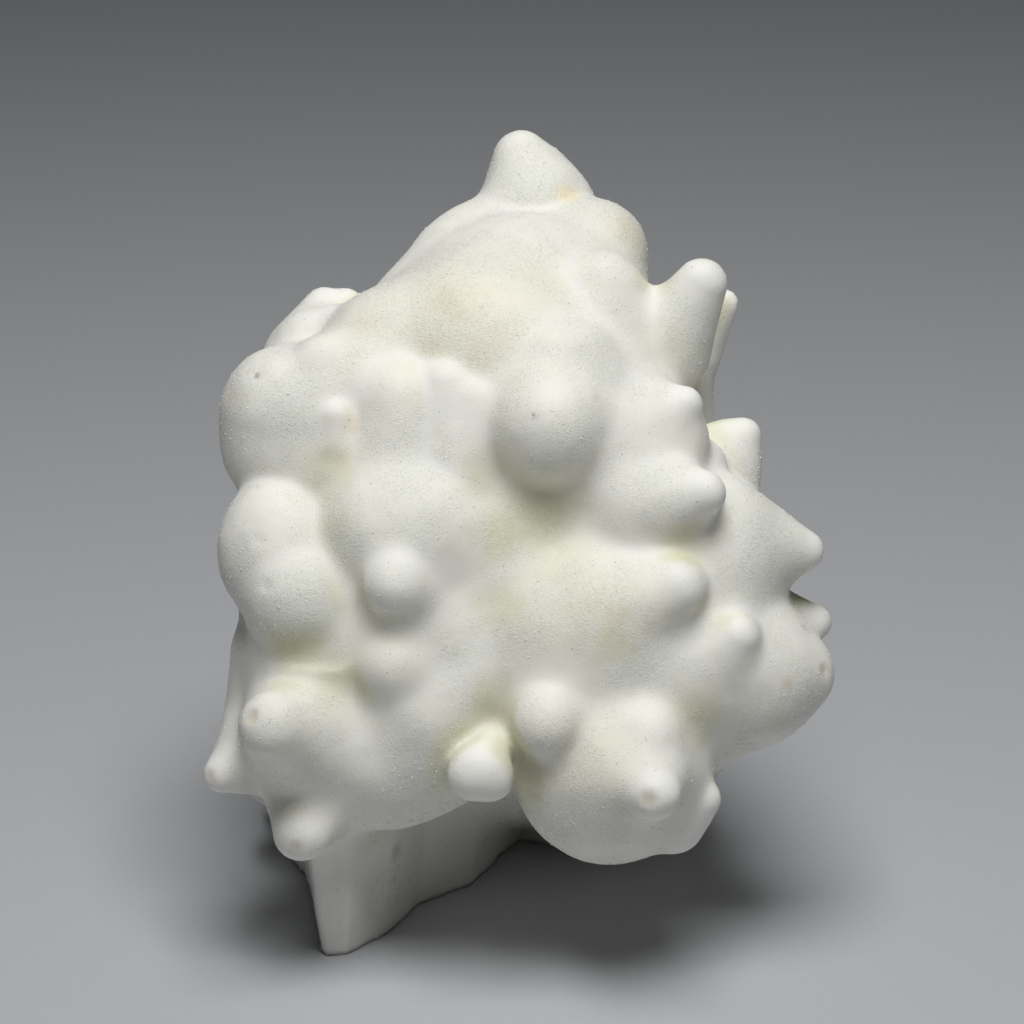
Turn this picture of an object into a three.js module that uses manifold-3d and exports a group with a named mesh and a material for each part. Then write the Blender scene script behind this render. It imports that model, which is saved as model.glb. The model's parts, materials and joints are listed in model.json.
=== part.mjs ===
/**
 * Flos ferri: a knobbly lump of white aragonite, broken off its rock.
 *
 * The mineral grew as one mass, so the part is one solid. Blunt knobs, ears and domes of known
 * place and size flow into one another, the back and the root are broken faces, and the root is
 * cut flat so that the lump rests on it.
 *
 * Millimetres, +Z up. The origin is the middle of the flat root, and the knobbly face looks
 * towards -Y and leans back.
 */
import * as THREE from 'three';
import { mergeVertices } from 'three/addons/utils/BufferGeometryUtils.js';
import Module from 'manifold-3d';

// ---- driving dimensions ----
const FACE_LEAN = THREE.MathUtils.degToRad(20); // the knobbly face leans back by this much
const FACE_CENTRE = [4, -24, 54.6]; // middle of the knobbly face, from the middle of the root
const ROOT_DEPTH = 3; // the root is drawn this far below the flat cut, and trimmed
const ROOT_HEIGHT = 22; // the broken root reaches this far up inside the lump, at its middle
const ROOT_FALL = 0.5; // and that falls by this much for each millimetre towards the back
const ROOT_FLARE = 0.1; // the root widens by this much for each millimetre of height
const ROOT_BLEND = 5; // width of the soft valley where the root meets the lump
const BREAK_EDGE = 2; // rounding of the edges between broken faces
const STONE = { color: 0xe9e8df, roughness: 0.6, metalness: 0 };

// ---- how finely the skin is drawn ----
const SAMPLE_STEP = 1.4; // spacing of the samples that the skin is drawn through
const MARGIN = 4; // space sampled round the lump
const FAR_AWAY = 1000; // distance given to a sample that no growth comes near
const ON_SKIN = 1e-4; // a sample nearer the skin than this counts as just outside it
const NEAREST_SHARE = 0.1; // a corner keeps this share of an edge away from a sample
const SKIN_TRIANGLES = 9600; // triangles left in the skin once it is thinned
const EVENING_ROUNDS = 6; // rounds of spreading the corners evenly
const EVENING_SHARE = 0.6; // how far a corner moves to the middle of its neighbours in a round
const GENTLEST_SLOPE = 0.3; // least slope that a corner is put back on the skin by, squared
const SLIVER = 0.1; // a triangle less round than this isn't made
const FOLD = 0.2; // a triangle isn't turned further than this, as a cosine
const SOUND_MATRIX = 1e-3; // a best place is worked out only where three faces fix it this well
const SPAN_COST = 1e-4; // cost of an edge's length, so that flat stretches thin out evenly
const BLOCK_SIZE = 400; // the block that the lump is cut flat with
const PLANE_TERMS = 10; // numbers that hold the distance to a corner's planes, squared
const VALLEY_SHARE = 1 / 6; // a valley is filled by this share of its blend, at its middle
const TINY = 1e-9; // keeps a division sound

/** The broken root's outline on the ground, from the thin front toe round by the right. */
const ROOT_OUTLINE = [
  [-20.5, -31.5], [-17.5, -31.5], [-15, -28.5], [-12.5, -25.5], [-11, -22.5], [-8.5, -16.5],
  [-4.5, -13], [-1.5, -10.5], [1, -5], [2.5, -1], [5, 4], [10, 2], [16, 0.5], [23, 2],
  [27, 8], [25, 17], [14, 21], [4, 19], [-6, 22], [-20, 19], [-27, 12], [-28, 2],
  [-24, -8], [-22.5, -16.5], [-21.5, -24],
];

/** Broken faces: a point on each, and the way it faces, from the middle of the root. */
const BREAKS = [
  [[4, 23, 50], [0.06, 1, -0.05]],
  [[0, 27, 74], [-0.1, 1, 0.3]],
  [[10, 22.5, 22], [0.2, 1, -0.3]],
  [[-10, 22.5, 48], [-0.22, 1, 0.06]],
  [[31.5, 7, 60], [0.8, 0.6, 0.05]],
  [[22, 17.5, 34], [0.45, 0.9, -0.12]],
  [[-27, 12, 60], [-0.72, 0.7, 0.05]],
  [[-20, 19, 30], [-0.3, 0.95, -0.12]],
];

// ---- places ----

/** Turns a place given from the middle of the root into right, up and out of the face. */
function ontoFace([x, y, z]) {
  const across = x - FACE_CENTRE[0];
  const back = y - FACE_CENTRE[1];
  const high = z - FACE_CENTRE[2];
  const up = back * Math.sin(FACE_LEAN) + high * Math.cos(FACE_LEAN);
  const out = high * Math.sin(FACE_LEAN) - back * Math.cos(FACE_LEAN);
  return [across, up, out];
}

// ---- the growths, all in the face's own directions: right, up the face, out of the face ----

/** A rounded mass, longer or flatter in each direction. */
function mass(name, centre, radii, blend) {
  const reach = Math.max(...radii);
  return { name, blend, ends: [centre, centre], reach, distance: (p) => ovalDistance(p, centre, radii) };
}

/** A blunt knob that runs from its root to its tip, each as round as its own radius. */
function knob(name, root, rootRadius, tip, tipRadius, blend) {
  const reach = Math.max(rootRadius, tipRadius);
  const distance = coneDistance(root, rootRadius, tip, tipRadius);
  return { name, blend, ends: [root, tip], reach, distance };
}

/** A round bump. */
function bump(name, centre, radius, blend) {
  return mass(name, centre, [radius, radius, radius], blend);
}

const GROWTHS = [
  // the inner mass that every knob stands on
  mass('heart', [-1, -0.5, -14], [28, 31.5, 20.5], 0),
  mass('heart_top', [1.5, 24.5, -18], [18.5, 18.5, 16.5], 8),
  mass('heart_right', [16.5, -13, -9], [19.5, 19.5, 15.5], 8),
  mass('heart_left', [-23, -2.5, -12], [13, 24, 14.5], 8),
  // the crest, with the crown on top
  knob('crown', [3, 44, -25], 7.4, [1.2, 51, -25], 3.7, 3),
  knob('crown_shoulder', [6.8, 45.4, -26], 3.9, [4.4, 49.2, -26], 3, 3),
  bump('crest_left', [-3.7, 36.2, -24], 9, 4),
  knob('crest_left_slope', [-15.4, 28.2, -16], 5, [-8.3, 36.2, -19], 5, 5),
  bump('crest_right', [10.3, 37.4, -21], 7.8, 4),
  knob('crest_egg', [11.5, 22, -7], 6.5, [11.7, 31.8, -6.5], 5.2, 5),
  mass('upper_slope', [-3.5, 23, -10.5], [15.5, 14.5, 16.5], 6),
  bump('upper_slope_left', [-15.5, 24, -6], 8.5, 6),
  // upper left: an ear behind a big dome
  knob('left_ear', [-25.7, 23, -12], 6.7, [-24.5, 30.5, -14], 2.5, 3),
  bump('left_ear_point', [-21.6, 30.7, -14], 2.1, 2),
  knob('left_ear_knot', [-26.6, 26.8, -8.4], 2, [-23.2, 28.2, -8], 1.9, 4),
  knob('big_dome', [-28.2, 16, -3], 8.9, [-28.6, 12.5, -3.5], 8.5, 5),
  // a fan-shaped plate with three scallops
  knob('fan_left', [-14, 9, 2.5], 5.8, [-13.8, 17, 2.6], 5.6, 3.5),
  knob('fan_middle', [-8.6, 11, 3.4], 4.6, [-8.4, 19.4, 4.8], 2.8, 2.5),
  knob('fan_right', [-6, 9, 2.7], 5, [-5.4, 17.4, 4.5], 2.8, 2.5),
  bump('fan_filling', [-21.5, 9, -2.5], 8.5, 6),
  bump('fan_filling_upper', [-20.5, 19.5, -1.5], 6.4, 6),
  // middle left
  mass('middle_dome', [-13.5, 1.2, 1.5], [11.5, 9.7, 11], 4),
  mass('left_lobe_upper', [-29.3, -1.2, 0.5], [7.9, 9.4, 8.2], 3),
  bump('left_lobe_lower', [-26.8, -7, 4.4], 6.6, 3.5),
  bump('left_filling', [-20.5, -3, -2], 9, 6),
  mass('left_valley_filling', [-24.5, -14.5, -3], [9.5, 7, 9.5], 7),
  mass('nose_filling', [-18.5, -12, -2], [6.5, 9, 9], 8),
  mass('valley_filling', [-9, -12, -1], [10, 9, 10.5], 7),
  mass('valley_filling_upper', [-4, -2, -1.5], [8, 10, 9], 7),
  bump('lower_lobe', [-10.5, -23.5, -2], 10.6, 6),
  bump('lower_lobe_left', [-17, -27.5, -2.5], 9.2, 8),
  knob('lower_ridge', [-11.4, -21.4, 5.5], 4.6, [-5.5, -18, 4.5], 4.2, 6),
  // lower left corner
  mass('corner_lobe', [-25.3, -24.1, -1.8], [8.5, 8.6, 10.2], 8),
  knob('corner_nose', [-27, -24, 4], 6.6, [-29.6, -22.7, 11.4], 4.1, 5),
  knob('corner_spike', [-32, -27, -4.5], 5.4, [-36.8, -29.6, -2], 2.3, 4),
  knob('corner_side', [-31, -15, -7], 4.6, [-32.2, -23, -7], 4.6, 5),
  knob('corner_toe', [-25.2, -33, -1], 5.8, [-26.4, -36.7, 2.8], 3.6, 3.5),
  // centre and right
  knob('hanging_knob', [6, 17, -4], 10.5, [4.6, 14.2, 7], 6.8, 8),
  knob('hood', [7.2, 19, 0], 6.5, [6.6, 23.4, 3.6], 3, 5),
  knob('hanging_knob_back', [4.5, 20, -1], 5.5, [8.6, 22.5, 2], 4, 4),
  bump('right_flank', [13, 11, -2.8], 10.5, 7),
  knob('finger', [19.8, 24.5, -9], 5.7, [24.3, 32.7, -5], 3.3, 7),
  knob('finger_behind', [25.3, 25, -20], 2.4, [28.2, 31.2, -17], 1.6, 2),
  mass('wall_behind', [20.5, 20, -21], [6.2, 10, 6], 4),
  knob('right_ear', [16.5, 13.5, 0], 6.6, [21.6, 17, 4], 2.3, 4),
  bump('right_ear_heel', [21, 12.5, 1], 3.6, 4),
  mass('blade_plate', [27.7, 9.2, -8.6], [4.2, 6.4, 4], 3),
  knob('blade_edge', [25.2, 12.7, -8], 2, [29.7, 13.6, -8], 1.9, 2.5),
  knob('blade_side', [29.4, 5.5, -8.5], 2.2, [29.8, 13.4, -8], 1.9, 2),
  bump('blade_root', [23.9, 9.7, -3], 3.1, 3),
  knob('thorn', [16.7, 4, 3], 6.8, [23.8, 5.8, 9], 2.7, 6),
  knob('horn', [28, -0.9, -3], 7.4, [37, -1.4, -3], 2.7, 4),
  mass('horn_root', [24.5, -4.5, -2], [9, 9.5, 9], 6),
  bump('thorn_filling', [25, 2.2, -0.5], 5.8, 5),
  knob('bud', [35, -10.3, -8], 3.6, [38.9, -10.5, -8], 2.2, 2.5),
  knob('knuckle_upper', [13.5, -9, 5], 6.6, [20.4, -6, 9.4], 3.4, 6),
  bump('knuckle_filling', [22.5, -10.5, 0], 7, 5),
  knob('knuckle_lower', [23.5, -16.5, 2], 6.8, [28, -12, 7.8], 2.6, 5),
  mass('rim', [30, -17, -3.5], [9.6, 9.6, 10.5], 5),
  bump('rim_point', [36.5, -17, -3], 4.2, 4),
  mass('middle_mound', [8.5, -12.5, -2], [15, 13, 14], 7),
  bump('lower_slope', [16, -19, -2], 11.2, 6),
  knob('brow', [6.2, -23, 4], 6.4, [4.3, -22.7, 10.6], 4, 7),
  bump('belly', [12.6, -28.4, 0], 12.6, 4),
  knob('snout', [14.6, -28.5, 8], 5.2, [17.6, -31.2, 14.4], 3, 6),
  knob('snout_ridge', [16, -23.5, 7.5], 3, [17.8, -28.5, 9.5], 3, 5),
  bump('snout_shoulder', [17.2, -24, 10.3], 2.6, 4),
  knob('lower_ear', [20.5, -36, 0], 3.6, [24, -32.6, 2.4], 2.2, 3),
  // smaller growths that stand out sharply from these
  knob('dome_shoulder', [-24.8, 15.5, 0], 5.6, [-24, 22.2, 1.2], 3.6, 2.5),
  knob('dome_nub', [-22, 12, 4.2], 2.2, [-22, 15.4, 5], 1.9, 2),
  knob('drooping_nose', [-13.4, -7, 6.5], 4.8, [-14.4, -5.7, 11.6], 3.6, 6),
  bump('small_nose', [-14.8, -15.6, 8.4], 3.9, 6),
  knob('tooth_back', [-3.6, -27.8, 4], 2.3, [-3.6, -28.9, 8], 2, 4),
  knob('tooth', [-2.6, -25.8, 8.2], 1.7, [-3.8, -28.2, 10.2], 3, 4),
  knob('tooth_foot', [-4.9, -29.3, 9.8], 2.5, [-2.7, -29.6, 9.6], 2.5, 3.5),
  // the inner mass behind, down to the broken root
  knob('rear_heart', ontoFace([2, 2, 40]), 24, ontoFace([6, 10, 66]), 16, 8),
  knob('rear_heart_low', ontoFace([0, 2, 30]), 24, ontoFace([18, 0, 40]), 22, 8),
  knob('rear_heart_left', ontoFace([-12, 4, 18]), 18, ontoFace([-9, 8, 58]), 18, 8),
  knob('rear_heart_right', ontoFace([14, 6, 16]), 15, ontoFace([12, 8, 48]), 18, 8),
  // left flank
  bump('left_flank_dome', ontoFace([-24, -1, 47]), 9, 5),
  bump('left_flank_high', ontoFace([-22, 4, 66]), 8, 6),
  knob('left_flank_low', ontoFace([-22, -2, 22]), 9, ontoFace([-27, -4, 15]), 6, 5),
  knob('left_flank_heel', ontoFace([-20, 8, 18]), 10, ontoFace([-26, 9, 10]), 6, 5),
  knob('left_flank_spur', ontoFace([-24, 5, 36]), 8, ontoFace([-29.5, 8, 34]), 3.5, 5),
  knob('left_flank_thorn', ontoFace([-24, 4, 56]), 6, ontoFace([-31, 3, 58]), 3, 4),
  // right flank
  knob('right_flank_low', ontoFace([22, -3, 26]), 9, ontoFace([28, -5, 19]), 6, 5),
  knob('right_flank_heel', ontoFace([22, 8, 16]), 10, ontoFace([27, 9, 8]), 5, 5),
  knob('right_flank_spur', ontoFace([26, 0, 38]), 8, ontoFace([34, 0, 40]), 3, 4),
  knob('right_flank_stub', ontoFace([26, 7, 30]), 7, ontoFace([32, 9, 27]), 4, 4),
  knob('right_flank_high', ontoFace([24, 2, 58]), 7, ontoFace([30, 2, 54]), 4, 4),
];

// ---- distances: less than nothing inside, more than nothing outside ----

/** The distance to the skin of a rounded mass. */
function ovalDistance(p, centre, radii) {
  let near = 0;
  let slope = 0;
  for (let k = 0; k < 3; k += 1) {
    const part = (p[k] - centre[k]) / radii[k];
    near += part * part;
    slope += (part / radii[k]) ** 2;
  }
  const ratio = Math.sqrt(near);
  return (ratio * (ratio - 1)) / Math.max(Math.sqrt(slope), TINY);
}

/** The distance to the skin of a cone with a ball at each end. */
function coneDistance(root, rootRadius, tip, tipRadius) {
  const axis = tip.map((value, k) => value - root[k]);
  const length2 = axis.reduce((sum, value) => sum + value * value, 0);
  const taper = rootRadius - tipRadius;
  const side2 = length2 - taper * taper;
  return (p) => {
    const from = p.map((value, k) => value - root[k]);
    const y = from.reduce((sum, value, k) => sum + value * axis[k], 0);
    const z = y - length2;
    const x2 = from.reduce((sum, value, k) => sum + (value * length2 - axis[k] * y) ** 2, 0);
    const y2 = y * y * length2;
    const z2 = z * z * length2;
    const edge = Math.sign(taper) * taper * taper * x2;
    if (Math.sign(z) * side2 * z2 > edge) return Math.sqrt(x2 + z2) / length2 - tipRadius;
    if (Math.sign(y) * side2 * y2 < edge) return Math.sqrt(x2 + y2) / length2 - rootRadius;
    return (Math.sqrt((x2 * side2) / length2) + y * taper) / length2 - rootRadius;
  };
}

/** Joins two distances with a soft valley as wide as the blend. */
function join(a, b, blend) {
  if (blend <= 0) return Math.min(a, b);
  const near = Math.max(blend - Math.abs(a - b), 0) / blend;
  return Math.min(a, b) - near * near * near * blend * VALLEY_SHARE;
}

/** Keeps what lies inside both, with the edge between them softened. */
function keepInside(a, b, edge) {
  return -join(-a, -b, edge);
}

/** The distance to the root's outline on the ground. */
function outlineDistance(x, y) {
  let nearest2 = Infinity;
  let inside = false;
  ROOT_OUTLINE.forEach(([ax, ay], index) => {
    const [bx, by] = ROOT_OUTLINE[(index + 1) % ROOT_OUTLINE.length];
    const ex = bx - ax;
    const ey = by - ay;
    const along = ((x - ax) * ex + (y - ay) * ey) / (ex * ex + ey * ey);
    const share = THREE.MathUtils.clamp(along, 0, 1);
    nearest2 = Math.min(nearest2, (x - ax - ex * share) ** 2 + (y - ay - ey * share) ** 2);
    if (ay > y !== by > y && x < ax + (ex * (y - ay)) / ey) inside = !inside;
  });
  return inside ? -Math.sqrt(nearest2) : Math.sqrt(nearest2);
}

/** Adds the root and takes away what was broken off, at a place from the middle of the root. */
function finish(grown, x, y, z) {
  const wall = outlineDistance(x, y) - ROOT_FLARE * z;
  const top = z + ROOT_FALL * y - ROOT_HEIGHT;
  const root = Math.max(wall, top, -ROOT_DEPTH - z);
  let result = join(grown, root, ROOT_BLEND);
  for (const [point, facing] of BREAKS) {
    const length = Math.hypot(...facing);
    const ahead = (x - point[0]) * facing[0] + (y - point[1]) * facing[1] + (z - point[2]) * facing[2];
    result = keepInside(result, ahead / length, BREAK_EDGE);
  }
  return Math.max(result, -ROOT_DEPTH - z);
}

// ---- sampling ----

/** A box of evenly spaced samples in the face's directions. */
function sampleGrid() {
  const box = new THREE.Box3();
  for (const { ends, reach } of GROWTHS) {
    for (const end of ends) {
      const ball = new THREE.Sphere(new THREE.Vector3(...end), reach);
      box.union(ball.getBoundingBox(new THREE.Box3()));
    }
  }
  for (const [x, y] of ROOT_OUTLINE) {
    box.expandByPoint(new THREE.Vector3(...ontoFace([x, y, -ROOT_DEPTH])));
  }
  box.expandByScalar(MARGIN);
  const start = box.min.toArray();
  const count = box.max.toArray().map((value, k) => Math.ceil((value - start[k]) / SAMPLE_STEP) + 1);
  const values = new Float64Array(count[0] * count[1] * count[2]).fill(FAR_AWAY);
  return { start, count, values };
}

/** Calls back with every sample from one corner to another. */
function eachSample(grid, from, to, visit) {
  const { start, count } = grid;
  const p = [0, 0, 0];
  for (let i = from[0]; i <= to[0]; i += 1) {
    p[0] = start[0] + i * SAMPLE_STEP;
    for (let j = from[1]; j <= to[1]; j += 1) {
      p[1] = start[1] + j * SAMPLE_STEP;
      for (let k = from[2]; k <= to[2]; k += 1) {
        p[2] = start[2] + k * SAMPLE_STEP;
        visit((i * count[1] + j) * count[2] + k, p);
      }
    }
  }
}

/** Turns a place in the face's directions into one from the middle of the root. */
function offFace([across, up, out]) {
  const y = up * Math.sin(FACE_LEAN) - out * Math.cos(FACE_LEAN) + FACE_CENTRE[1];
  const z = up * Math.cos(FACE_LEAN) + out * Math.sin(FACE_LEAN) + FACE_CENTRE[2];
  return [across + FACE_CENTRE[0], y, z];
}

/** Works out the distance to the lump's skin at every sample. */
function fillGrid(grid) {
  for (const growth of GROWTHS) {
    const reach = growth.reach + growth.blend + MARGIN;
    const from = grid.start.map((value, k) => {
      const edge = Math.min(growth.ends[0][k], growth.ends[1][k]) - reach;
      return Math.max(Math.floor((edge - value) / SAMPLE_STEP), 0);
    });
    const to = grid.start.map((value, k) => {
      const edge = Math.max(growth.ends[0][k], growth.ends[1][k]) + reach;
      return Math.min(Math.ceil((edge - value) / SAMPLE_STEP), grid.count[k] - 1);
    });
    eachSample(grid, from, to, (index, p) => {
      grid.values[index] = join(grid.values[index], growth.distance(p), growth.blend);
    });
  }
  const last = grid.count.map((value) => value - 1);
  eachSample(grid, [0, 0, 0], last, (index, p) => {
    const value = finish(grid.values[index], ...offFace(p));
    grid.values[index] = Math.abs(value) < ON_SKIN ? ON_SKIN : value;
  });
}

// ---- drawing the skin ----

/** The six tetrahedra that share a cube's long diagonal, as steps from its first corner. */
const TETRAHEDRA = [[0, 1, 2], [0, 2, 1], [1, 0, 2], [1, 2, 0], [2, 0, 1], [2, 1, 0]].map((order) => {
  const corners = [[0, 0, 0]];
  for (const axis of order) {
    const next = [...corners[corners.length - 1]];
    next[axis] = 1;
    corners.push(next);
  }
  return corners;
});

/** Draws the skin where the samples change from inside to outside. */
function drawSkin(grid) {
  const { start, count, values } = grid;
  const stride = [count[1] * count[2], count[2], 1];
  const positions = [];
  const triangles = [];
  const found = new Map();

  /** A sample's place. */
  const place = (index) => {
    const i = Math.floor(index / stride[0]);
    const j = Math.floor((index % stride[0]) / stride[1]);
    const k = index % stride[1];
    return [start[0] + i * SAMPLE_STEP, start[1] + j * SAMPLE_STEP, start[2] + k * SAMPLE_STEP];
  };

  /** The corner where the skin crosses the line between two samples. */
  const crossing = (a, b) => {
    const low = Math.min(a, b);
    const high = Math.max(a, b);
    const key = low * values.length + high;
    if (!found.has(key)) {
      const wanted = values[low] / (values[low] - values[high]);
      const share = THREE.MathUtils.clamp(wanted, NEAREST_SHARE, 1 - NEAREST_SHARE);
      const from = place(low);
      const to = place(high);
      found.set(key, positions.length);
      positions.push(from.map((value, k) => value + (to[k] - value) * share));
    }
    return found.get(key);
  };

  /** Adds a triangle that faces away from a place inside the lump. */
  const addTriangle = (corners, inner) => {
    const [a, b, c] = corners.map((corner) => new THREE.Vector3(...positions[corner]));
    const facing = b.clone().sub(a).cross(c.clone().sub(a));
    const outward = facing.dot(a.clone().sub(new THREE.Vector3(...place(inner))));
    triangles.push(outward > 0 ? corners : [corners[0], corners[2], corners[1]]);
  };

  const last = count.map((value) => value - 2);
  eachSample(grid, [0, 0, 0], last, (base) => {
    for (const corners of TETRAHEDRA) {
      const nodes = corners.map((step) => base + step[0] * stride[0] + step[1] * stride[1] + step[2]);
      const inside = nodes.filter((node) => values[node] < 0);
      const outside = nodes.filter((node) => values[node] >= 0);
      if (inside.length === 1 || outside.length === 1) {
        const [lone] = inside.length === 1 ? inside : outside;
        const others = nodes.filter((node) => node !== lone);
        addTriangle(others.map((node) => crossing(lone, node)), inside[0]);
      } else if (inside.length === 2) {
        const ring = [
          crossing(inside[0], outside[0]), crossing(inside[0], outside[1]),
          crossing(inside[1], outside[1]), crossing(inside[1], outside[0]),
        ];
        addTriangle([ring[0], ring[1], ring[2]], inside[0]);
        addTriangle([ring[0], ring[2], ring[3]], inside[1]);
      }
    }
  });
  return { positions, triangles };
}

// ---- evening out ----

/** The distance at a place between samples. */
function readGrid({ start, count, values }, p) {
  const steps = p.map((value, k) => (value - start[k]) / SAMPLE_STEP);
  const cell = steps.map((value, k) => THREE.MathUtils.clamp(value, 0, count[k] - 1 - ON_SKIN));
  const first = cell.map(Math.floor);
  let total = 0;
  for (let corner = 0; corner < 8; corner += 1) {
    const step = [corner & 1, (corner >> 1) & 1, corner >> 2];
    const share = step.reduce((part, on, k) => part * (on ? cell[k] - first[k] : 1 - cell[k] + first[k]), 1);
    const [i, j, k] = first.map((value, axis) => value + step[axis]);
    total += share * values[(i * count[1] + j) * count[2] + k];
  }
  return total;
}

/** Spreads the corners evenly over the skin, and puts each back on it. */
function evenOut(grid, { positions, triangles }) {
  const around = positions.map(() => new Set());
  for (const [a, b, c] of triangles) {
    around[a].add(b).add(c);
    around[b].add(a).add(c);
    around[c].add(a).add(b);
  }
  let places = positions;
  for (let round = 0; round < EVENING_ROUNDS; round += 1) {
    places = places.map((place, corner) => {
      const middle = [0, 0, 0];
      around[corner].forEach((other) => places[other].forEach((value, k) => {
        middle[k] += value / around[corner].size;
      }));
      const moved = place.map((value, k) => value + (middle[k] - value) * EVENING_SHARE);
      const slope = moved.map((_, k) => {
        const ahead = [...moved];
        const behind = [...moved];
        ahead[k] += SAMPLE_STEP / 2;
        behind[k] -= SAMPLE_STEP / 2;
        return (readGrid(grid, ahead) - readGrid(grid, behind)) / SAMPLE_STEP;
      });
      const steepness = Math.max(slope.reduce((sum, value) => sum + value * value, 0), GENTLEST_SLOPE);
      const gap = readGrid(grid, moved) / steepness;
      return moved.map((value, k) => value - slope[k] * gap);
    });
  }
  return { positions: places, triangles };
}

// ---- thinning ----

/** A pile that always gives back its cheapest entry. */
class Pile {
  constructor() {
    this.entries = [];
  }

  get size() {
    return this.entries.length;
  }

  add(entry) {
    const { entries } = this;
    let at = entries.push(entry) - 1;
    while (at > 0) {
      const above = (at - 1) >> 1;
      if (entries[above].cost <= entries[at].cost) break;
      [entries[above], entries[at]] = [entries[at], entries[above]];
      at = above;
    }
  }

  take() {
    const { entries } = this;
    const top = entries[0];
    const end = entries.pop();
    if (entries.length > 0) {
      entries[0] = end;
      let at = 0;
      for (;;) {
        let least = at;
        for (const below of [2 * at + 1, 2 * at + 2]) {
          if (below < entries.length && entries[below].cost < entries[least].cost) least = below;
        }
        if (least === at) break;
        [entries[least], entries[at]] = [entries[at], entries[least]];
        at = least;
      }
    }
    return top;
  }
}

/** Joins neighbouring corners, cheapest first, until few enough triangles are left. */
function thinSkin(skin, wanted) {
  const points = skin.positions.map((p) => new THREE.Vector3(...p));
  const faces = skin.triangles.map((corners) => [...corners]);
  const touching = points.map(() => new Set());
  faces.forEach((corners, index) => corners.forEach((corner) => touching[corner].add(index)));
  const version = new Int32Array(points.length);
  const planes = points.map(() => new Float64Array(PLANE_TERMS));

  /** The way a triangle faces, twice as long as its area. */
  const facingOf = (a, b, c) => b.clone().sub(a).cross(c.clone().sub(a));
  for (const corners of faces) {
    const [a, b, c] = corners.map((corner) => points[corner]);
    const facing = facingOf(a, b, c);
    const size = facing.length() / 2;
    facing.normalize();
    const n = [facing.x, facing.y, facing.z, -facing.dot(a)];
    let slot = 0;
    for (let i = 0; i < 4; i += 1) {
      for (let j = i; j < 4; j += 1) {
        for (const corner of corners) planes[corner][slot] += n[i] * n[j] * size;
        slot += 1;
      }
    }
  }

  /** How far a place is from a corner's planes, squared and weighed by their area. */
  const error = (q, p) => (
    q[0] * p.x * p.x + 2 * q[1] * p.x * p.y + 2 * q[2] * p.x * p.z + 2 * q[3] * p.x
    + q[4] * p.y * p.y + 2 * q[5] * p.y * p.z + 2 * q[6] * p.y
    + q[7] * p.z * p.z + 2 * q[8] * p.z + q[9]
  );

  /** The corners that share a triangle with a corner. */
  const neighbours = (corner) => {
    const found = new Set();
    touching[corner].forEach((face) => faces[face].forEach((other) => found.add(other)));
    found.delete(corner);
    return found;
  };

  const pile = new Pile();

  /** Puts a pair of corners on the pile, with the best place to join them. */
  const offer = (a, b) => {
    const sum = planes[a].map((value, k) => value + planes[b][k]);
    const middle = points[a].clone().add(points[b]).multiplyScalar(0.5);
    const [xx, xy, xz, x, yy, yz, y, zz, z] = sum;
    const matrix = new THREE.Matrix3().set(xx, xy, xz, xy, yy, yz, xz, yz, zz);
    let target = middle;
    const span = points[a].distanceTo(points[b]);
    if (Math.abs(matrix.determinant()) > SOUND_MATRIX) {
      const best = new THREE.Vector3(-x, -y, -z).applyMatrix3(matrix.invert());
      if (best.distanceTo(middle) < span) target = best;
    }
    const cost = Math.max(error(sum, target), 0) + SPAN_COST * span * span;
    pile.add({ cost, a, b, target, stamp: version[a] + version[b] });
  };

  /** How round a triangle is, from nothing for a sliver. */
  const roundness = ([p, q, r]) => {
    const edges = p.distanceToSquared(q) + q.distanceToSquared(r) + r.distanceToSquared(p);
    return facingOf(p, q, r).length() / Math.max(edges, TINY);
  };

  /** True if moving a corner would fold a triangle over or draw it out into a sliver. */
  const spoils = (corner, target, shared) => [...touching[corner]].some((face) => {
    if (shared.has(face)) return false;
    const before = faces[face].map((other) => points[other]);
    const after = faces[face].map((other) => (other === corner ? target : points[other]));
    const turned = facingOf(...after).normalize().dot(facingOf(...before).normalize());
    const kept = roundness(after) > Math.min(SLIVER, roundness(before));
    return turned < FOLD || !kept;
  });

  let left = faces.length;
  let leftBefore = Infinity;
  while (left > wanted) {
    if (pile.size === 0) {
      if (left === leftBefore) break;
      leftBefore = left;
      points.forEach((_, a) => neighbours(a).forEach((b) => {
        if (a < b) offer(a, b);
      }));
    }
    const { a, b, target, stamp } = pile.take();
    const fresh = touching[a].size > 0 && touching[b].size > 0 && stamp === version[a] + version[b];
    const shared = new Set([...touching[a]].filter((face) => touching[b].has(face)));
    const around = fresh ? neighbours(b) : new Set();
    const common = fresh ? [...neighbours(a)].filter((other) => around.has(other)) : [];
    const sound = fresh && shared.size === 2 && common.length === 2;
    if (sound && !spoils(a, target, shared) && !spoils(b, target, shared)) {
      points[a] = target;
      planes[a] = planes[a].map((value, k) => value + planes[b][k]);
      shared.forEach((face) => {
        faces[face].forEach((corner) => touching[corner].delete(face));
        faces[face] = null;
      });
      touching[b].forEach((face) => {
        faces[face] = faces[face].map((corner) => (corner === b ? a : corner));
        touching[a].add(face);
      });
      touching[b].clear();
      version[a] += 1;
      version[b] += 1;
      left -= 2;
      neighbours(a).forEach((other) => offer(Math.min(a, other), Math.max(a, other)));
    }
  }

  const kept = new Map();
  const positions = [];
  const triangles = faces.filter((corners) => corners !== null).map((corners) => corners.map((corner) => {
    if (!kept.has(corner)) {
      kept.set(corner, positions.length);
      positions.push(points[corner].toArray());
    }
    return kept.get(corner);
  }));
  return { positions, triangles };
}

// ---- the flat cut ----

/** Makes a solid of corners and the triangles between them. */
function toSolid(wasm, positions, triangles) {
  const mesh = new wasm.Mesh({
    numProp: 3,
    vertProperties: new Float32Array(positions.flat()),
    triVerts: new Uint32Array(triangles.flat()),
  });
  return new wasm.Manifold(mesh);
}

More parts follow.
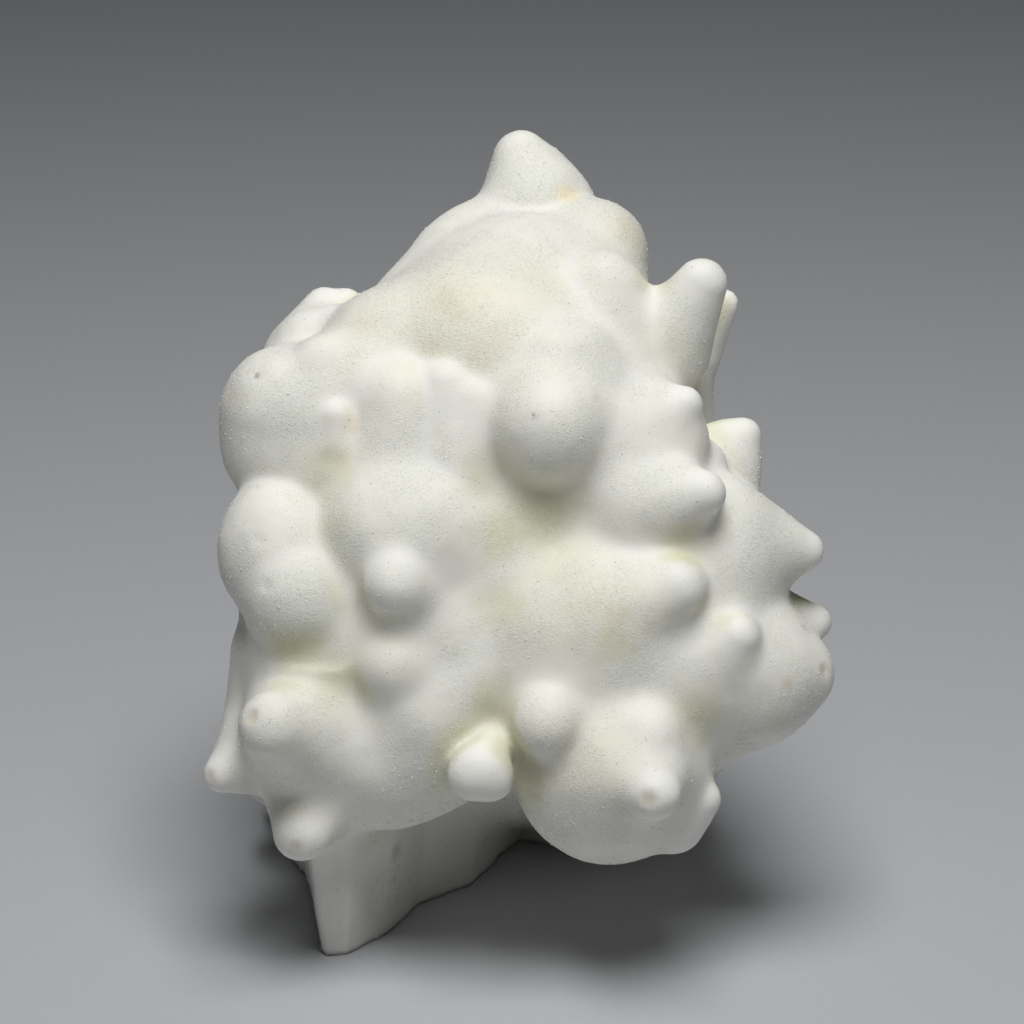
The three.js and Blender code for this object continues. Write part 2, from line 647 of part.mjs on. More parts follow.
/** Everything above the ground, as one large block. */
function aboveGround(wasm) {
  const block = new THREE.BoxGeometry(BLOCK_SIZE, BLOCK_SIZE, BLOCK_SIZE).translate(0, 0, BLOCK_SIZE / 2);
  block.deleteAttribute('normal');
  block.deleteAttribute('uv');
  const welded = mergeVertices(block);
  const place = welded.getAttribute('position');
  const corner = (_, k) => [place.getX(k), place.getY(k), place.getZ(k)];
  const positions = Array.from({ length: place.count }, corner);
  const corners = Array.from(welded.getIndex().array);
  const triangles = Array.from({ length: corners.length / 3 }, (_, k) => corners.slice(3 * k, 3 * k + 3));
  return toSolid(wasm, positions, triangles);
}

/** Turns a solid's skin into a shape that a mesh can hold. */
function toGeometry(solid) {
  const mesh = solid.getMesh();
  const geometry = new THREE.BufferGeometry();
  geometry.setAttribute('position', new THREE.BufferAttribute(new Float32Array(mesh.vertProperties), 3));
  geometry.setIndex(Array.from(mesh.triVerts));
  return geometry;
}

/** Grows the lump, breaks it off, cuts it flat and names it. */
async function build() {
  const wasm = await Module();
  wasm.setup();
  const grid = sampleGrid();
  fillGrid(grid);
  const skin = thinSkin(evenOut(grid, drawSkin(grid)), SKIN_TRIANGLES);
  const lump = toSolid(wasm, skin.positions.map(offFace), skin.triangles).intersect(aboveGround(wasm));
  const mesh = new THREE.Mesh(toGeometry(lump), new THREE.MeshStandardMaterial(STONE));
  mesh.name = 'flos_ferri';
  const group = new THREE.Group();
  group.name = 'flos_ferri_specimen';
  group.add(mesh);
  return group;
}

export default await build();
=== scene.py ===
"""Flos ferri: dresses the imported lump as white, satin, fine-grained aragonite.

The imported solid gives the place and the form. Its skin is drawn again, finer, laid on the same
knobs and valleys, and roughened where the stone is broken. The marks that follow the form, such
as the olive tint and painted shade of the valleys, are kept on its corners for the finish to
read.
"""
import json
import logging
import math
from dataclasses import dataclass, field
from enum import Enum
from typing import Any, Sequence, Union

import bpy
import numpy as np
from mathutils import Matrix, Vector, noise

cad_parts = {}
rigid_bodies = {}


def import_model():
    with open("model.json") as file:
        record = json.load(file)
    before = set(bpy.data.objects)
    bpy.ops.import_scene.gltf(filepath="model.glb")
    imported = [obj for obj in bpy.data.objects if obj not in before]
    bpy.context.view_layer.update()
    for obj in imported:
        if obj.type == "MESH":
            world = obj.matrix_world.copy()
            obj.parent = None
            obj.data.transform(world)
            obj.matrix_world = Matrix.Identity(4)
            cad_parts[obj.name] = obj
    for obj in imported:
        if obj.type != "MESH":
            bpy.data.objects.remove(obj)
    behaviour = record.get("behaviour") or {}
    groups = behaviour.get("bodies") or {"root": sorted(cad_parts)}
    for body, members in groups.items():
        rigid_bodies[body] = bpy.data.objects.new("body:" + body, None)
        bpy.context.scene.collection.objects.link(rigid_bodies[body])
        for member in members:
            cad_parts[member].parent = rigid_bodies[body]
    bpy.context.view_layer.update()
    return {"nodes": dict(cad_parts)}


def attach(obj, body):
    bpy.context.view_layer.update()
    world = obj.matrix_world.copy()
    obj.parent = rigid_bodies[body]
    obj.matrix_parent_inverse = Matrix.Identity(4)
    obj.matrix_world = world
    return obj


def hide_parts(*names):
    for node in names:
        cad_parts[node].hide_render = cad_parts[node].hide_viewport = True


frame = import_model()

logging.basicConfig(level=logging.INFO, format="%(name)s: %(message)s")
LOG = logging.getLogger("flos_ferri")

Array = np.ndarray
Place = tuple[float, float, float]
Colour = tuple[float, float, float]

MM = 0.001  # metres in a millimetre
BODY = "root"
NODE = "flos_ferri"
TILT_SEED = 3  # of the facets' tilts, which Blender draws by the clock without one

# ---- the lump's driving dimensions, in millimetres from the middle of the flat root ----
FACE_LEAN = math.radians(20)  # the knobbly face leans back by this much
FACE_CENTRE = (4, -24, 54.6)  # middle of the knobbly face
ROOT_HEIGHT = 22  # the broken root reaches this far up inside the lump
ROOT_FALL = 0.5  # and that falls by this much for each millimetre towards the back
ROOT_FLARE = 0.1  # the root widens by this much for each millimetre of height
ROOT_BLEND = 5  # width of the soft valley where the root meets the lump
BREAK_EDGE = 2  # rounding of the edges between broken faces
FAR_AWAY = 1000.0  # distance given to a place that no growth comes near
EARSHOT = 18.0  # a growth further away than this changes nothing at a place
FRONT_START = 30.0  # in front of everything on the face
FRONT_STEPS = 40  # steps of a line into the face until it meets the skin
FRONT_PACE = 0.7  # each step is this share of the distance that is left

# The broken root's outline on the ground, from the thin front toe round by the right.
ROOT_OUTLINE = (
    (-20.5, -31.5), (-17.5, -31.5), (-15, -28.5), (-12.5, -25.5), (-11, -22.5), (-8.5, -16.5),
    (-4.5, -13), (-1.5, -10.5), (1, -5), (2.5, -1), (5, 4), (10, 2), (16, 0.5), (23, 2),
    (27, 8), (25, 17), (14, 21), (4, 19), (-6, 22), (-20, 19), (-27, 12), (-28, 2),
    (-24, -8), (-22.5, -16.5), (-21.5, -24),
)

# Broken faces: a point on each, and the way it faces.
BREAKS = (
    ((4, 23, 50), (0.06, 1, -0.05)),
    ((0, 27, 74), (-0.1, 1, 0.3)),
    ((10, 22.5, 22), (0.2, 1, -0.3)),
    ((-10, 22.5, 48), (-0.22, 1, 0.06)),
    ((31.5, 7, 60), (0.8, 0.6, 0.05)),
    ((22, 17.5, 34), (0.45, 0.9, -0.12)),
    ((-27, 12, 60), (-0.72, 0.7, 0.05)),
    ((-20, 19, 30), (-0.3, 0.95, -0.12)),
)


def onto_face(x: float, y: float, z: float) -> Place:
    """Turns a place given from the middle of the root into right, up and out of the face.

    Args:
        x: how far it is to the right.
        y: how far it is to the back.
        z: how far it is up from the ground.

    Returns:
        How far it is right, up the face and out of the face from the face's middle.
    """
    across = x - FACE_CENTRE[0]
    back = y - FACE_CENTRE[1]
    high = z - FACE_CENTRE[2]
    up = back * math.sin(FACE_LEAN) + high * math.cos(FACE_LEAN)
    out = high * math.sin(FACE_LEAN) - back * math.cos(FACE_LEAN)
    return (across, up, out)


def off_face(right: float, up: float, out: float) -> Array:
    """Turns a place given right, up and out of the face into one from the middle of the root.

    Args:
        right: how far it is to the right.
        up: how far it is up the face.
        out: how far it is out of the face.

    Returns:
        How far it is to the right, to the back and up from the middle of the root.
    """
    back = up * math.sin(FACE_LEAN) - out * math.cos(FACE_LEAN)
    high = up * math.cos(FACE_LEAN) + out * math.sin(FACE_LEAN)
    return np.array(FACE_CENTRE) + np.array((right, back, high))


# ---- the growths, all in the face's own directions: right, up the face, out of the face ----


@dataclass(frozen=True)
class Mass:
    """A rounded mass, longer or flatter in each direction."""

    name: str
    centre: Place
    radii: Place
    blend: float

    def ball(self) -> tuple[Array, float]:
        """Returns the middle and the radius of a ball that holds the mass."""
        return np.array(self.centre, float), max(self.radii)

    def distance(self, places: Array) -> Array:
        """Works out how far places are outside the mass, less than nothing inside.

        Args:
            places: places in the face's own directions, one a row.

        Returns:
            One distance for each place.
        """
        radii = np.array(self.radii, float)
        parts = (places - np.array(self.centre, float)) / radii
        ratio = np.sqrt((parts * parts).sum(axis=1))
        slope = np.sqrt(((parts / radii) ** 2).sum(axis=1))
        return ratio * (ratio - 1) / np.maximum(slope, 1e-9)


@dataclass(frozen=True)
class Knob:
    """A blunt knob that runs from its root to its tip, each as round as its own radius."""

    name: str
    root: Place
    root_radius: float
    tip: Place
    tip_radius: float
    blend: float

    def ball(self) -> tuple[Array, float]:
        """Returns the middle and the radius of a ball that holds the knob.

        Returns:
            The middle and the radius.
        """
        root, tip = np.array(self.root, float), np.array(self.tip, float)
        half = float(np.linalg.norm(tip - root)) / 2
        return (root + tip) / 2, half + max(self.root_radius, self.tip_radius)

    def distance(self, places: Array) -> Array:
        """Works out how far places are outside the knob, less than nothing inside.

        Args:
            places: places in the face's own directions, one a row.

        Returns:
            One distance for each place.
        """
        axis = np.array(self.tip, float) - np.array(self.root, float)
        length2 = float(axis @ axis)
        taper = self.root_radius - self.tip_radius
        side2 = length2 - taper * taper
        start = places - np.array(self.root, float)
        y = start @ axis
        z = y - length2
        x2 = ((start * length2 - y[:, None] * axis) ** 2).sum(axis=1)
        y2 = y * y * length2
        z2 = z * z * length2
        edge = np.sign(taper) * taper * taper * x2
        at_tip = np.sqrt(x2 + z2) / length2 - self.tip_radius
        at_root = np.sqrt(x2 + y2) / length2 - self.root_radius
        beside = (np.sqrt(x2 * max(side2, 0) / length2) + y * taper) / length2 - self.root_radius
        past_root = np.where(np.sign(y) * side2 * y2 < edge, at_root, beside)
        return np.where(np.sign(z) * side2 * z2 > edge, at_tip, past_root)


Growth = Union[Mass, Knob]


def bump(name: str, centre: Place, radius: float, blend: float) -> Mass:
    """Makes a round bump."""
    return Mass(name, centre, (radius, radius, radius), blend)


GROWTHS: tuple[Growth, ...] = (
    # the inner mass that every knob stands on
    Mass("heart", (-1, -0.5, -14), (28, 31.5, 20.5), 0),
    Mass("heart_top", (1.5, 24.5, -18), (18.5, 18.5, 16.5), 8),
    Mass("heart_right", (16.5, -13, -9), (19.5, 19.5, 15.5), 8),
    Mass("heart_left", (-23, -2.5, -12), (13, 24, 14.5), 8),
    # the crest, with the crown on top
    Knob("crown", (3, 44, -25), 7.4, (1.2, 51, -25), 3.7, 3),
    Knob("crown_shoulder", (6.8, 45.4, -26), 3.9, (4.4, 49.2, -26), 3, 3),
    bump("crest_left", (-3.7, 36.2, -24), 9, 4),
    Knob("crest_left_slope", (-15.4, 28.2, -16), 5, (-8.3, 36.2, -19), 5, 5),
    bump("crest_right", (10.3, 37.4, -21), 7.8, 4),
    Knob("crest_egg", (11.5, 22, -7), 6.5, (11.7, 31.8, -6.5), 5.2, 5),
    Mass("upper_slope", (-3.5, 23, -10.5), (15.5, 14.5, 16.5), 6),
    bump("upper_slope_left", (-15.5, 24, -6), 8.5, 6),
    # upper left: an ear behind a big dome
    Knob("left_ear", (-25.7, 23, -12), 6.7, (-24.5, 30.5, -14), 2.5, 3),
    bump("left_ear_point", (-21.6, 30.7, -14), 2.1, 2),
    Knob("left_ear_knot", (-26.6, 26.8, -8.4), 2, (-23.2, 28.2, -8), 1.9, 4),
    Knob("big_dome", (-28.2, 16, -3), 8.9, (-28.6, 12.5, -3.5), 8.5, 5),
    # a fan-shaped plate with three scallops
    Knob("fan_left", (-14, 9, 2.5), 5.8, (-13.8, 17, 2.6), 5.6, 3.5),
    Knob("fan_middle", (-8.6, 11, 3.4), 4.6, (-8.4, 19.4, 4.8), 2.8, 2.5),
    Knob("fan_right", (-6, 9, 2.7), 5, (-5.4, 17.4, 4.5), 2.8, 2.5),
    bump("fan_filling", (-21.5, 9, -2.5), 8.5, 6),
    bump("fan_filling_upper", (-20.5, 19.5, -1.5), 6.4, 6),
    # middle left
    Mass("middle_dome", (-13.5, 1.2, 1.5), (11.5, 9.7, 11), 4),
    Mass("left_lobe_upper", (-29.3, -1.2, 0.5), (7.9, 9.4, 8.2), 3),
    bump("left_lobe_lower", (-26.8, -7, 4.4), 6.6, 3.5),
    bump("left_filling", (-20.5, -3, -2), 9, 6),
    Mass("left_valley_filling", (-24.5, -14.5, -3), (9.5, 7, 9.5), 7),
    Mass("nose_filling", (-18.5, -12, -2), (6.5, 9, 9), 8),
    Mass("valley_filling", (-9, -12, -1), (10, 9, 10.5), 7),
    Mass("valley_filling_upper", (-4, -2, -1.5), (8, 10, 9), 7),
    bump("lower_lobe", (-10.5, -23.5, -2), 10.6, 6),
    bump("lower_lobe_left", (-17, -27.5, -2.5), 9.2, 8),
    Knob("lower_ridge", (-11.4, -21.4, 5.5), 4.6, (-5.5, -18, 4.5), 4.2, 6),
    # lower left corner
    Mass("corner_lobe", (-25.3, -24.1, -1.8), (8.5, 8.6, 10.2), 8),
    Knob("corner_nose", (-27, -24, 4), 6.6, (-29.6, -22.7, 11.4), 4.1, 5),
    Knob("corner_spike", (-32, -27, -4.5), 5.4, (-36.8, -29.6, -2), 2.3, 4),
    Knob("corner_side", (-31, -15, -7), 4.6, (-32.2, -23, -7), 4.6, 5),
    Knob("corner_toe", (-25.2, -33, -1), 5.8, (-26.4, -36.7, 2.8), 3.6, 3.5),
    # centre and right
    Knob("hanging_knob", (6, 17, -4), 10.5, (4.6, 14.2, 7), 6.8, 8),
    Knob("hood", (7.2, 19, 0), 6.5, (6.6, 23.4, 3.6), 3, 5),
    Knob("hanging_knob_back", (4.5, 20, -1), 5.5, (8.6, 22.5, 2), 4, 4),
    bump("right_flank", (13, 11, -2.8), 10.5, 7),
    Knob("finger", (19.8, 24.5, -9), 5.7, (24.3, 32.7, -5), 3.3, 7),
    Knob("finger_behind", (25.3, 25, -20), 2.4, (28.2, 31.2, -17), 1.6, 2),
    Mass("wall_behind", (20.5, 20, -21), (6.2, 10, 6), 4),
    Knob("right_ear", (16.5, 13.5, 0), 6.6, (21.6, 17, 4), 2.3, 4),
    bump("right_ear_heel", (21, 12.5, 1), 3.6, 4),
    Mass("blade_plate", (27.7, 9.2, -8.6), (4.2, 6.4, 4), 3),
    Knob("blade_edge", (25.2, 12.7, -8), 2, (29.7, 13.6, -8), 1.9, 2.5),
    Knob("blade_side", (29.4, 5.5, -8.5), 2.2, (29.8, 13.4, -8), 1.9, 2),
    bump("blade_root", (23.9, 9.7, -3), 3.1, 3),
    Knob("thorn", (16.7, 4, 3), 6.8, (23.8, 5.8, 9), 2.7, 6),
    Knob("horn", (28, -0.9, -3), 7.4, (37, -1.4, -3), 2.7, 4),
    Mass("horn_root", (24.5, -4.5, -2), (9, 9.5, 9), 6),
    bump("thorn_filling", (25, 2.2, -0.5), 5.8, 5),
    Knob("bud", (35, -10.3, -8), 3.6, (38.9, -10.5, -8), 2.2, 2.5),
    Knob("knuckle_upper", (13.5, -9, 5), 6.6, (20.4, -6, 9.4), 3.4, 6),
    bump("knuckle_filling", (22.5, -10.5, 0), 7, 5),
    Knob("knuckle_lower", (23.5, -16.5, 2), 6.8, (28, -12, 7.8), 2.6, 5),
    Mass("rim", (30, -17, -3.5), (9.6, 9.6, 10.5), 5),
    bump("rim_point", (36.5, -17, -3), 4.2, 4),
    Mass("middle_mound", (8.5, -12.5, -2), (15, 13, 14), 7),
    bump("lower_slope", (16, -19, -2), 11.2, 6),
    Knob("brow", (6.2, -23, 4), 6.4, (4.3, -22.7, 10.6), 4, 7),
    bump("belly", (12.6, -28.4, 0), 12.6, 4),
    Knob("snout", (14.6, -28.5, 8), 5.2, (17.6, -31.2, 14.4), 3, 6),
    Knob("snout_ridge", (16, -23.5, 7.5), 3, (17.8, -28.5, 9.5), 3, 5),
    bump("snout_shoulder", (17.2, -24, 10.3), 2.6, 4),
    Knob("lower_ear", (20.5, -36, 0), 3.6, (24, -32.6, 2.4), 2.2, 3),
    # smaller growths that stand out sharply from these
    Knob("dome_shoulder", (-24.8, 15.5, 0), 5.6, (-24, 22.2, 1.2), 3.6, 2.5),
    Knob("dome_nub", (-22, 12, 4.2), 2.2, (-22, 15.4, 5), 1.9, 2),
    Knob("drooping_nose", (-13.4, -7, 6.5), 4.8, (-14.4, -5.7, 11.6), 3.6, 6),
    bump("small_nose", (-14.8, -15.6, 8.4), 3.9, 6),
    Knob("tooth_back", (-3.6, -27.8, 4), 2.3, (-3.6, -28.9, 8), 2, 4),
    Knob("tooth", (-2.6, -25.8, 8.2), 1.7, (-3.8, -28.2, 10.2), 3, 4),
    Knob("tooth_foot", (-4.9, -29.3, 9.8), 2.5, (-2.7, -29.6, 9.6), 2.5, 3.5),
    # the inner mass behind, down to the broken root
    Knob("rear_heart", onto_face(2, 2, 40), 24, onto_face(6, 10, 66), 16, 8),
    Knob("rear_heart_low", onto_face(0, 2, 30), 24, onto_face(18, 0, 40), 22, 8),
    Knob("rear_heart_left", onto_face(-12, 4, 18), 18, onto_face(-9, 8, 58), 18, 8),
    Knob("rear_heart_right", onto_face(14, 6, 16), 15, onto_face(12, 8, 48), 18, 8),
    # left flank
    bump("left_flank_dome", onto_face(-24, -1, 47), 9, 5),
    bump("left_flank_high", onto_face(-22, 4, 66), 8, 6),
    Knob("left_flank_low", onto_face(-22, -2, 22), 9, onto_face(-27, -4, 15), 6, 5),
    Knob("left_flank_heel", onto_face(-20, 8, 18), 10, onto_face(-26, 9, 10), 6, 5),
    Knob("left_flank_spur", onto_face(-24, 5, 36), 8, onto_face(-29.5, 8, 34), 3.5, 5),
    Knob("left_flank_thorn", onto_face(-24, 4, 56), 6, onto_face(-31, 3, 58), 3, 4),
    # right flank
    Knob("right_flank_low", onto_face(22, -3, 26), 9, onto_face(28, -5, 19), 6, 5),
    Knob("right_flank_heel", onto_face(22, 8, 16), 10, onto_face(27, 9, 8), 5, 5),
    Knob("right_flank_spur", onto_face(26, 0, 38), 8, onto_face(34, 0, 40), 3, 4),
    Knob("right_flank_stub", onto_face(26, 7, 30), 7, onto_face(32, 9, 27), 4, 4),
    Knob("right_flank_high", onto_face(24, 2, 58), 7, onto_face(30, 2, 54), 4, 4),
)


def join(first: Array, second: Array, blend: float) -> Array:
    """Joins two distances with a soft valley as wide as the blend.

    Args:
        first: how far places are outside one form.
        second: how far they are outside the other.
        blend: the width of the valley.

    Returns:
        How far they are outside both together.
    """
    if blend <= 0:
        return np.minimum(first, second)
    near = np.maximum(blend - np.abs(first - second), 0) / blend
    return np.minimum(first, second) - near**3 * blend / 6


def keep_inside(first: Array, second: Array, edge: float) -> Array:
    """Keeps what lies inside both, with the edge between them softened."""
    return -join(-first, -second, edge)


def outline_distance(x: Array, y: Array) -> Array:
    """Works out how far places are outside the root's outline on the ground.

    Args:
        x: the places' distances to the right.
        y: the places' distances to the back.

    Returns:
        One distance for each place, less than nothing inside the outline.
    """
    nearest2 = np.full(x.shape, np.inf)
    inside = np.zeros(x.shape, bool)
    for (ax, ay), (bx, by) in zip(ROOT_OUTLINE, ROOT_OUTLINE[1:] + ROOT_OUTLINE[:1]):
        ex, ey = bx - ax, by - ay
        share = np.clip(((x - ax) * ex + (y - ay) * ey) / (ex * ex + ey * ey), 0, 1)
        nearest2 = np.minimum(nearest2, (x - ax - ex * share) ** 2 + (y - ay - ey * share) ** 2)
        if ay != by:
            crossed = ((ay > y) != (by > y)) & (x < ax + ex * (y - ay) / ey)
            inside ^= crossed
    return np.where(inside, -1.0, 1.0) * np.sqrt(nearest2)


class Form:
    """The lump's form: how far any place is from its skin. Places are from the root's middle."""

    def __init__(self, growths: Sequence[Growth]) -> None:
        """Keeps the growths with the ball that holds each.

        Args:
            growths: the growths in the order in which they flow into one another.
        """
        self.growths = [(growth, *growth.ball()) for growth in growths]

    def grown(self, places: Array) -> Array:
        """Works out how far places are outside what grew, before anything broke off.

        Args:
            places: places from the middle of the root, one a row.

        Returns:
            One distance for each place.
        """
        x, y, z = (places - np.array(FACE_CENTRE, float)).T
        sine, cosine = math.sin(FACE_LEAN), math.cos(FACE_LEAN)
        on_face = np.stack((x, y * sine + z * cosine, z * sine - y * cosine), axis=1)
        result = np.full(len(places), FAR_AWAY)
        for growth, middle, reach in self.growths:
            heard = ((on_face - middle) ** 2).sum(axis=1) < (reach + EARSHOT) ** 2
            if heard.any():
                near = growth.distance(on_face[heard])
                result[heard] = join(result[heard], near, growth.blend)
        return result

    def breaks(self, places: Array) -> Array:
        """Works out how far places are in front of the nearest broken face.

        Args:
            places: places from the middle of the root, one a row.

        Returns:
            One distance for each place, less than nothing behind every broken face.
        """
        ahead = np.full(len(places), -FAR_AWAY)
        for point, facing in BREAKS:
            unit = np.array(facing, float) / math.hypot(*facing)
            ahead = np.maximum(ahead, (places - np.array(point, float)) @ unit)
        return ahead

    def root(self, places: Array) -> Array:
        """Works out how far places are outside the broken root.

        Args:
            places: places from the middle of the root, one a row.

        Returns:
            One distance for each place.
        """
        x, y, z = places.T
        wall = outline_distance(x, y) - ROOT_FLARE * z
        return np.maximum(wall, z + ROOT_FALL * y - ROOT_HEIGHT)

    def whole(self, places: Array) -> Array:
        """Works out how far places are outside the finished lump.

        Args:
            places: places from the middle of the root, one a row.

        Returns:
            One distance for each place.
        """
        result = join(self.grown(places), self.root(places), ROOT_BLEND)
        for point, facing in BREAKS:
            unit = np.array(facing, float) / math.hypot(*facing)
            ahead = (places - np.array(point, float)) @ unit
            result = keep_inside(result, ahead, BREAK_EDGE)
        return np.maximum(result, -places[:, 2])

    def on_skin(self, place: tuple[float, float]) -> Array:
        """Finds where a line into the face first meets the skin.

        Args:
            place: how far right and up the face the line goes in.

        Returns:
            The place from the middle of the root.
        """
        right, up = place
        out = FRONT_START
        for _ in range(FRONT_STEPS):
            here = off_face(right, up, out)
            out -= FRONT_PACE * float(self.whole(here[None])[0])
        return here

    def slope(self, places: Array, step: float = 0.05) -> Array:
        """Works out which way the distance grows fastest, and by how much.

        Args:
            places: places from the middle of the root, one a row.
            step: how far to look to each side.

        Returns:
            One direction for each place, about one long.
        """
        columns = []
        for axis in np.eye(3):
            rise = self.whole(places + axis * step) - self.whole(places - axis * step)
            columns.append(rise / (2 * step))
        return np.stack(columns, axis=1)


# ---- marks ----

# Each mark rises softly from 0 to 1 between two limits.
# The first two limits set the painted shade that darkens the hollows, seen from afar, and the
# creases, seen from near, towards olive.
VALLEY_SHADE = (0.2, 0.8)  # of how hollow the stone is, seen from afar
CREASE_SHADE = (0.3, 0.9)  # of how hollow it is, seen from near
TIP = (0.05, 0.45)  # of how thin it is
CLOUD = (-0.5, 0.6)  # of the wave of clouds
SUGAR = (-0.9, 0.4)  # of that wave, made ragged
AT_BREAK = (-0.7, -0.1)  # millimetres in front of the broken face
UNDER_SKIN = (-0.2, 0.5)  # millimetres in from where the skin grew
CORE = (0.8, 4.5)  # millimetres in from there, past the white rim
AT_ROOT = (-3.5, -1.2)  # millimetres off the root, as less than nothing
PAST_SKIN = (-1.5, 0.5)  # millimetres out from where the skin grew
FACING_BACK = (0.1, 0.6)  # how much of the way that the skin faces is to the back
AT_GROUND = (-1.1, -0.2)  # millimetres off the ground, as less than nothing

# How hollow the stone is shows over these distances, in millimetres.
FAR_LOOK = 9.0
MIDDLE_LOOK = 4.5
NEAR_LOOK = 1.8
FAR_SHARE = 0.45  # of a valley's mark, with the rest from the middle look

# How much of the ragged wave each mark takes.
VALLEY_SHADE_RAGGED = 0.1
CREASE_SHADE_RAGGED = 0.05
SUGAR_RAGGED = 0.6
STAIN_RAGGED = 0.35

BARE_TIP = 0.85  # share of the sugar that a tip loses
ROOT_CORE = 0.7  # how much the broken root is core
STAIN_HEART = 0.1  # share of a stain's radius that has its full strength
PIT_FLOOR = 0.3  # share of a pit's radius that has its full depth
HARDLY_BROKEN = 0.01  # with less of the broken mark than this, the skin has no facets
NEARLY_GROUND = 0.02  # millimetres up to which the cut underside reaches


class Tint(Enum):
    """The colours that stain the stone; the olive one is partly painted shade in the valleys. The
    value names what the corners keep.
    """

    CREAM = "cream"
    TAN = "tan"
    ROSE = "rose"
    YELLOW = "yellow"
    OLIVE_AND_SHADE = "olive_and_shade"
    DIRT = "dirt"


@dataclass(frozen=True)
class Patch:
    """A round patch of the skin, placed right and up the face."""

    name: str
    place: tuple[float, float]
    radius: float

    def reach(self, form: Form, places: Array) -> Array:
        """Works out how far places are from the patch's middle, which lies on the form."""
        return np.linalg.norm(places - form.on_skin(self.place), axis=1)


@dataclass(frozen=True)
class Stain(Patch):
    """A soft patch of colour."""

    strength: float


@dataclass(frozen=True)
class Pit(Patch):
    """A small hollow where a tip is chipped."""

    depth: float


@dataclass(frozen=True)
class Frost(Patch):
    """A patch where needles of crystal lie along the skin."""

    needles: int


STAINS_AND_SHADE: dict[Tint, tuple[Stain, ...]] = {
    Tint.CREAM: (
        Stain("slope_warm", (-7, 29), 20, 0.9),
        Stain("slope_warm_left", (-19, 26), 11, 0.7),
        Stain("slope_warm_right", (3, 33), 12, 0.7),
        Stain("crest_warm", (14, 40), 8, 0.8),
        Stain("ground_warm", (12, -8), 10, 0.7),
        Stain("belly_warm", (10, -26), 10, 0.7),
    ),
    Tint.TAN: (
        Stain("slope_patch", (-8, 30), 4, 0.16),
        Stain("slope_patch_low", (-6.5, 28.5), 2.5, 0.14),
        Stain("slope_streak", (-2, 24), 5, 0.1),
        Stain("slope_foot", (-10.5, 24), 2.4, 0.16),
        Stain("slope_left", (-18.5, 27), 3, 0.12),
        Stain("crest_edge", (15.5, 41), 4, 0.22),
        Stain("dome_edge", (-35, 18), 3, 0.16),
        Stain("thorn_under", (19, 0), 3.4, 0.08),
        Stain("thorn_under_right", (22, 1), 2, 0.06),
        Stain("middle_line_upper", (-1.5, -11), 2, 0.12),
        Stain("middle_line", (-1, -16.5), 1.8, 0.14),
        Stain("middle_line_lower", (-1.5, -21.5), 2, 0.14),
        Stain("ground_line", (13, -9.5), 2.4, 0.14),
        Stain("tooth_side", (1, -33), 2.6, 0.4),
        Stain("rim_spot", (34.5, -18), 1.4, 0.4),
        Stain("rim_edge", (33.5, -23), 2.6, 0.22),
        Stain("rim_tip", (39.5, -16.5), 1.5, 0.35),
        Stain("corner_nose_chip", (-32, -21.5), 1.5, 0.4),
        Stain("corner_spike_chip", (-38.2, -30), 1.4, 0.35),
        Stain("corner_toe_chip", (-27, -38.3), 1.2, 0.35),
        Stain("snout_chip", (16.5, -31.5), 1.7, 0.4),
        Stain("horn_chip", (38.8, -1), 1, 0.35),
    ),
    Tint.ROSE: (
        Stain("fan_edge", (-19.5, 14), 2, 0.25),
        Stain("nose_side", (-19, -4.5), 2.2, 0.25),
    ),
    Tint.YELLOW: (
        Stain("crown_foot", (7.5, 45.5), 3, 0.5),
        Stain("fan_line_upper", (-20.5, 15), 3.5, 0.15),
        Stain("fan_line_lower", (-21, 11), 4, 0.16),
    ),
    # olive tint with painted shade: these patches darken the valleys below the knobs and lobes
    Tint.OLIVE_AND_SHADE: (
        Stain("valley_knob", (3.5, 3.5), 8.5, 0.45),
        Stain("valley_knob_left", (-1, 1), 6, 0.45),
        Stain("valley_fan", (-3.5, 8), 5, 0.3),
        Stain("valley_ground", (5, -1.5), 9, 0.25),
        Stain("valley_dome", (-23, 7.5), 6, 0.3),
        Stain("valley_dome_low", (-22, 2), 5, 0.25),
        Stain("valley_thorn", (21.5, -2), 4, 0.25),
        Stain("valley_lobe", (-26, -13.6), 5.5, 0.42),
        Stain("valley_nose", (-22, -17), 5, 0.35),
        Stain("valley_middle", (-1, -8), 6, 0.35),
        Stain("valley_middle_low", (-2, -19), 5, 0.3),
        Stain("valley_knuckle", (12.5, -12.5), 4, 0.3),
        Stain("valley_rim", (22.5, -22), 6, 0.35),
        Stain("valley_finger", (18.5, 25), 5, 0.2),
        Stain("ground_olive", (4, -9), 13, 0.13),
        Stain("nose_olive", (-14, -14), 9, 0.1),
    ),
    Tint.DIRT: (
        Stain("bud_side", (37, -11), 1.2, 0.3),
        Stain("dome_nick", (-32, 20.5), 0.5, 0.7),
        Stain("knob_speck", (2.6, 15.4), 0.45, 0.7),
        Stain("root_spot", (-15, -40.5), 2.2, 0.3),
    ),
}

PITS: tuple[Pit, ...] = (
    Pit("corner_nose_chip", (-32, -21.5), 1.3, 0.35),
    Pit("corner_spike_chip", (-38.2, -30), 1.2, 0.3),
    Pit("corner_toe_chip", (-27, -38.3), 1.1, 0.25),
    Pit("snout_chip", (16.5, -31.5), 1.5, 0.4),
    Pit("horn_chip", (38.8, -1), 1, 0.25),
    Pit("rim_chip", (39.5, -16.5), 1.2, 0.25),
    Pit("lobe_dimple_upper", (-31.5, 0), 1.1, 0.2),
    Pit("lobe_dimple_lower", (-30.4, -5.6), 1.1, 0.2),
    Pit("dome_nick", (-32, 20.5), 0.7, 0.25),
)

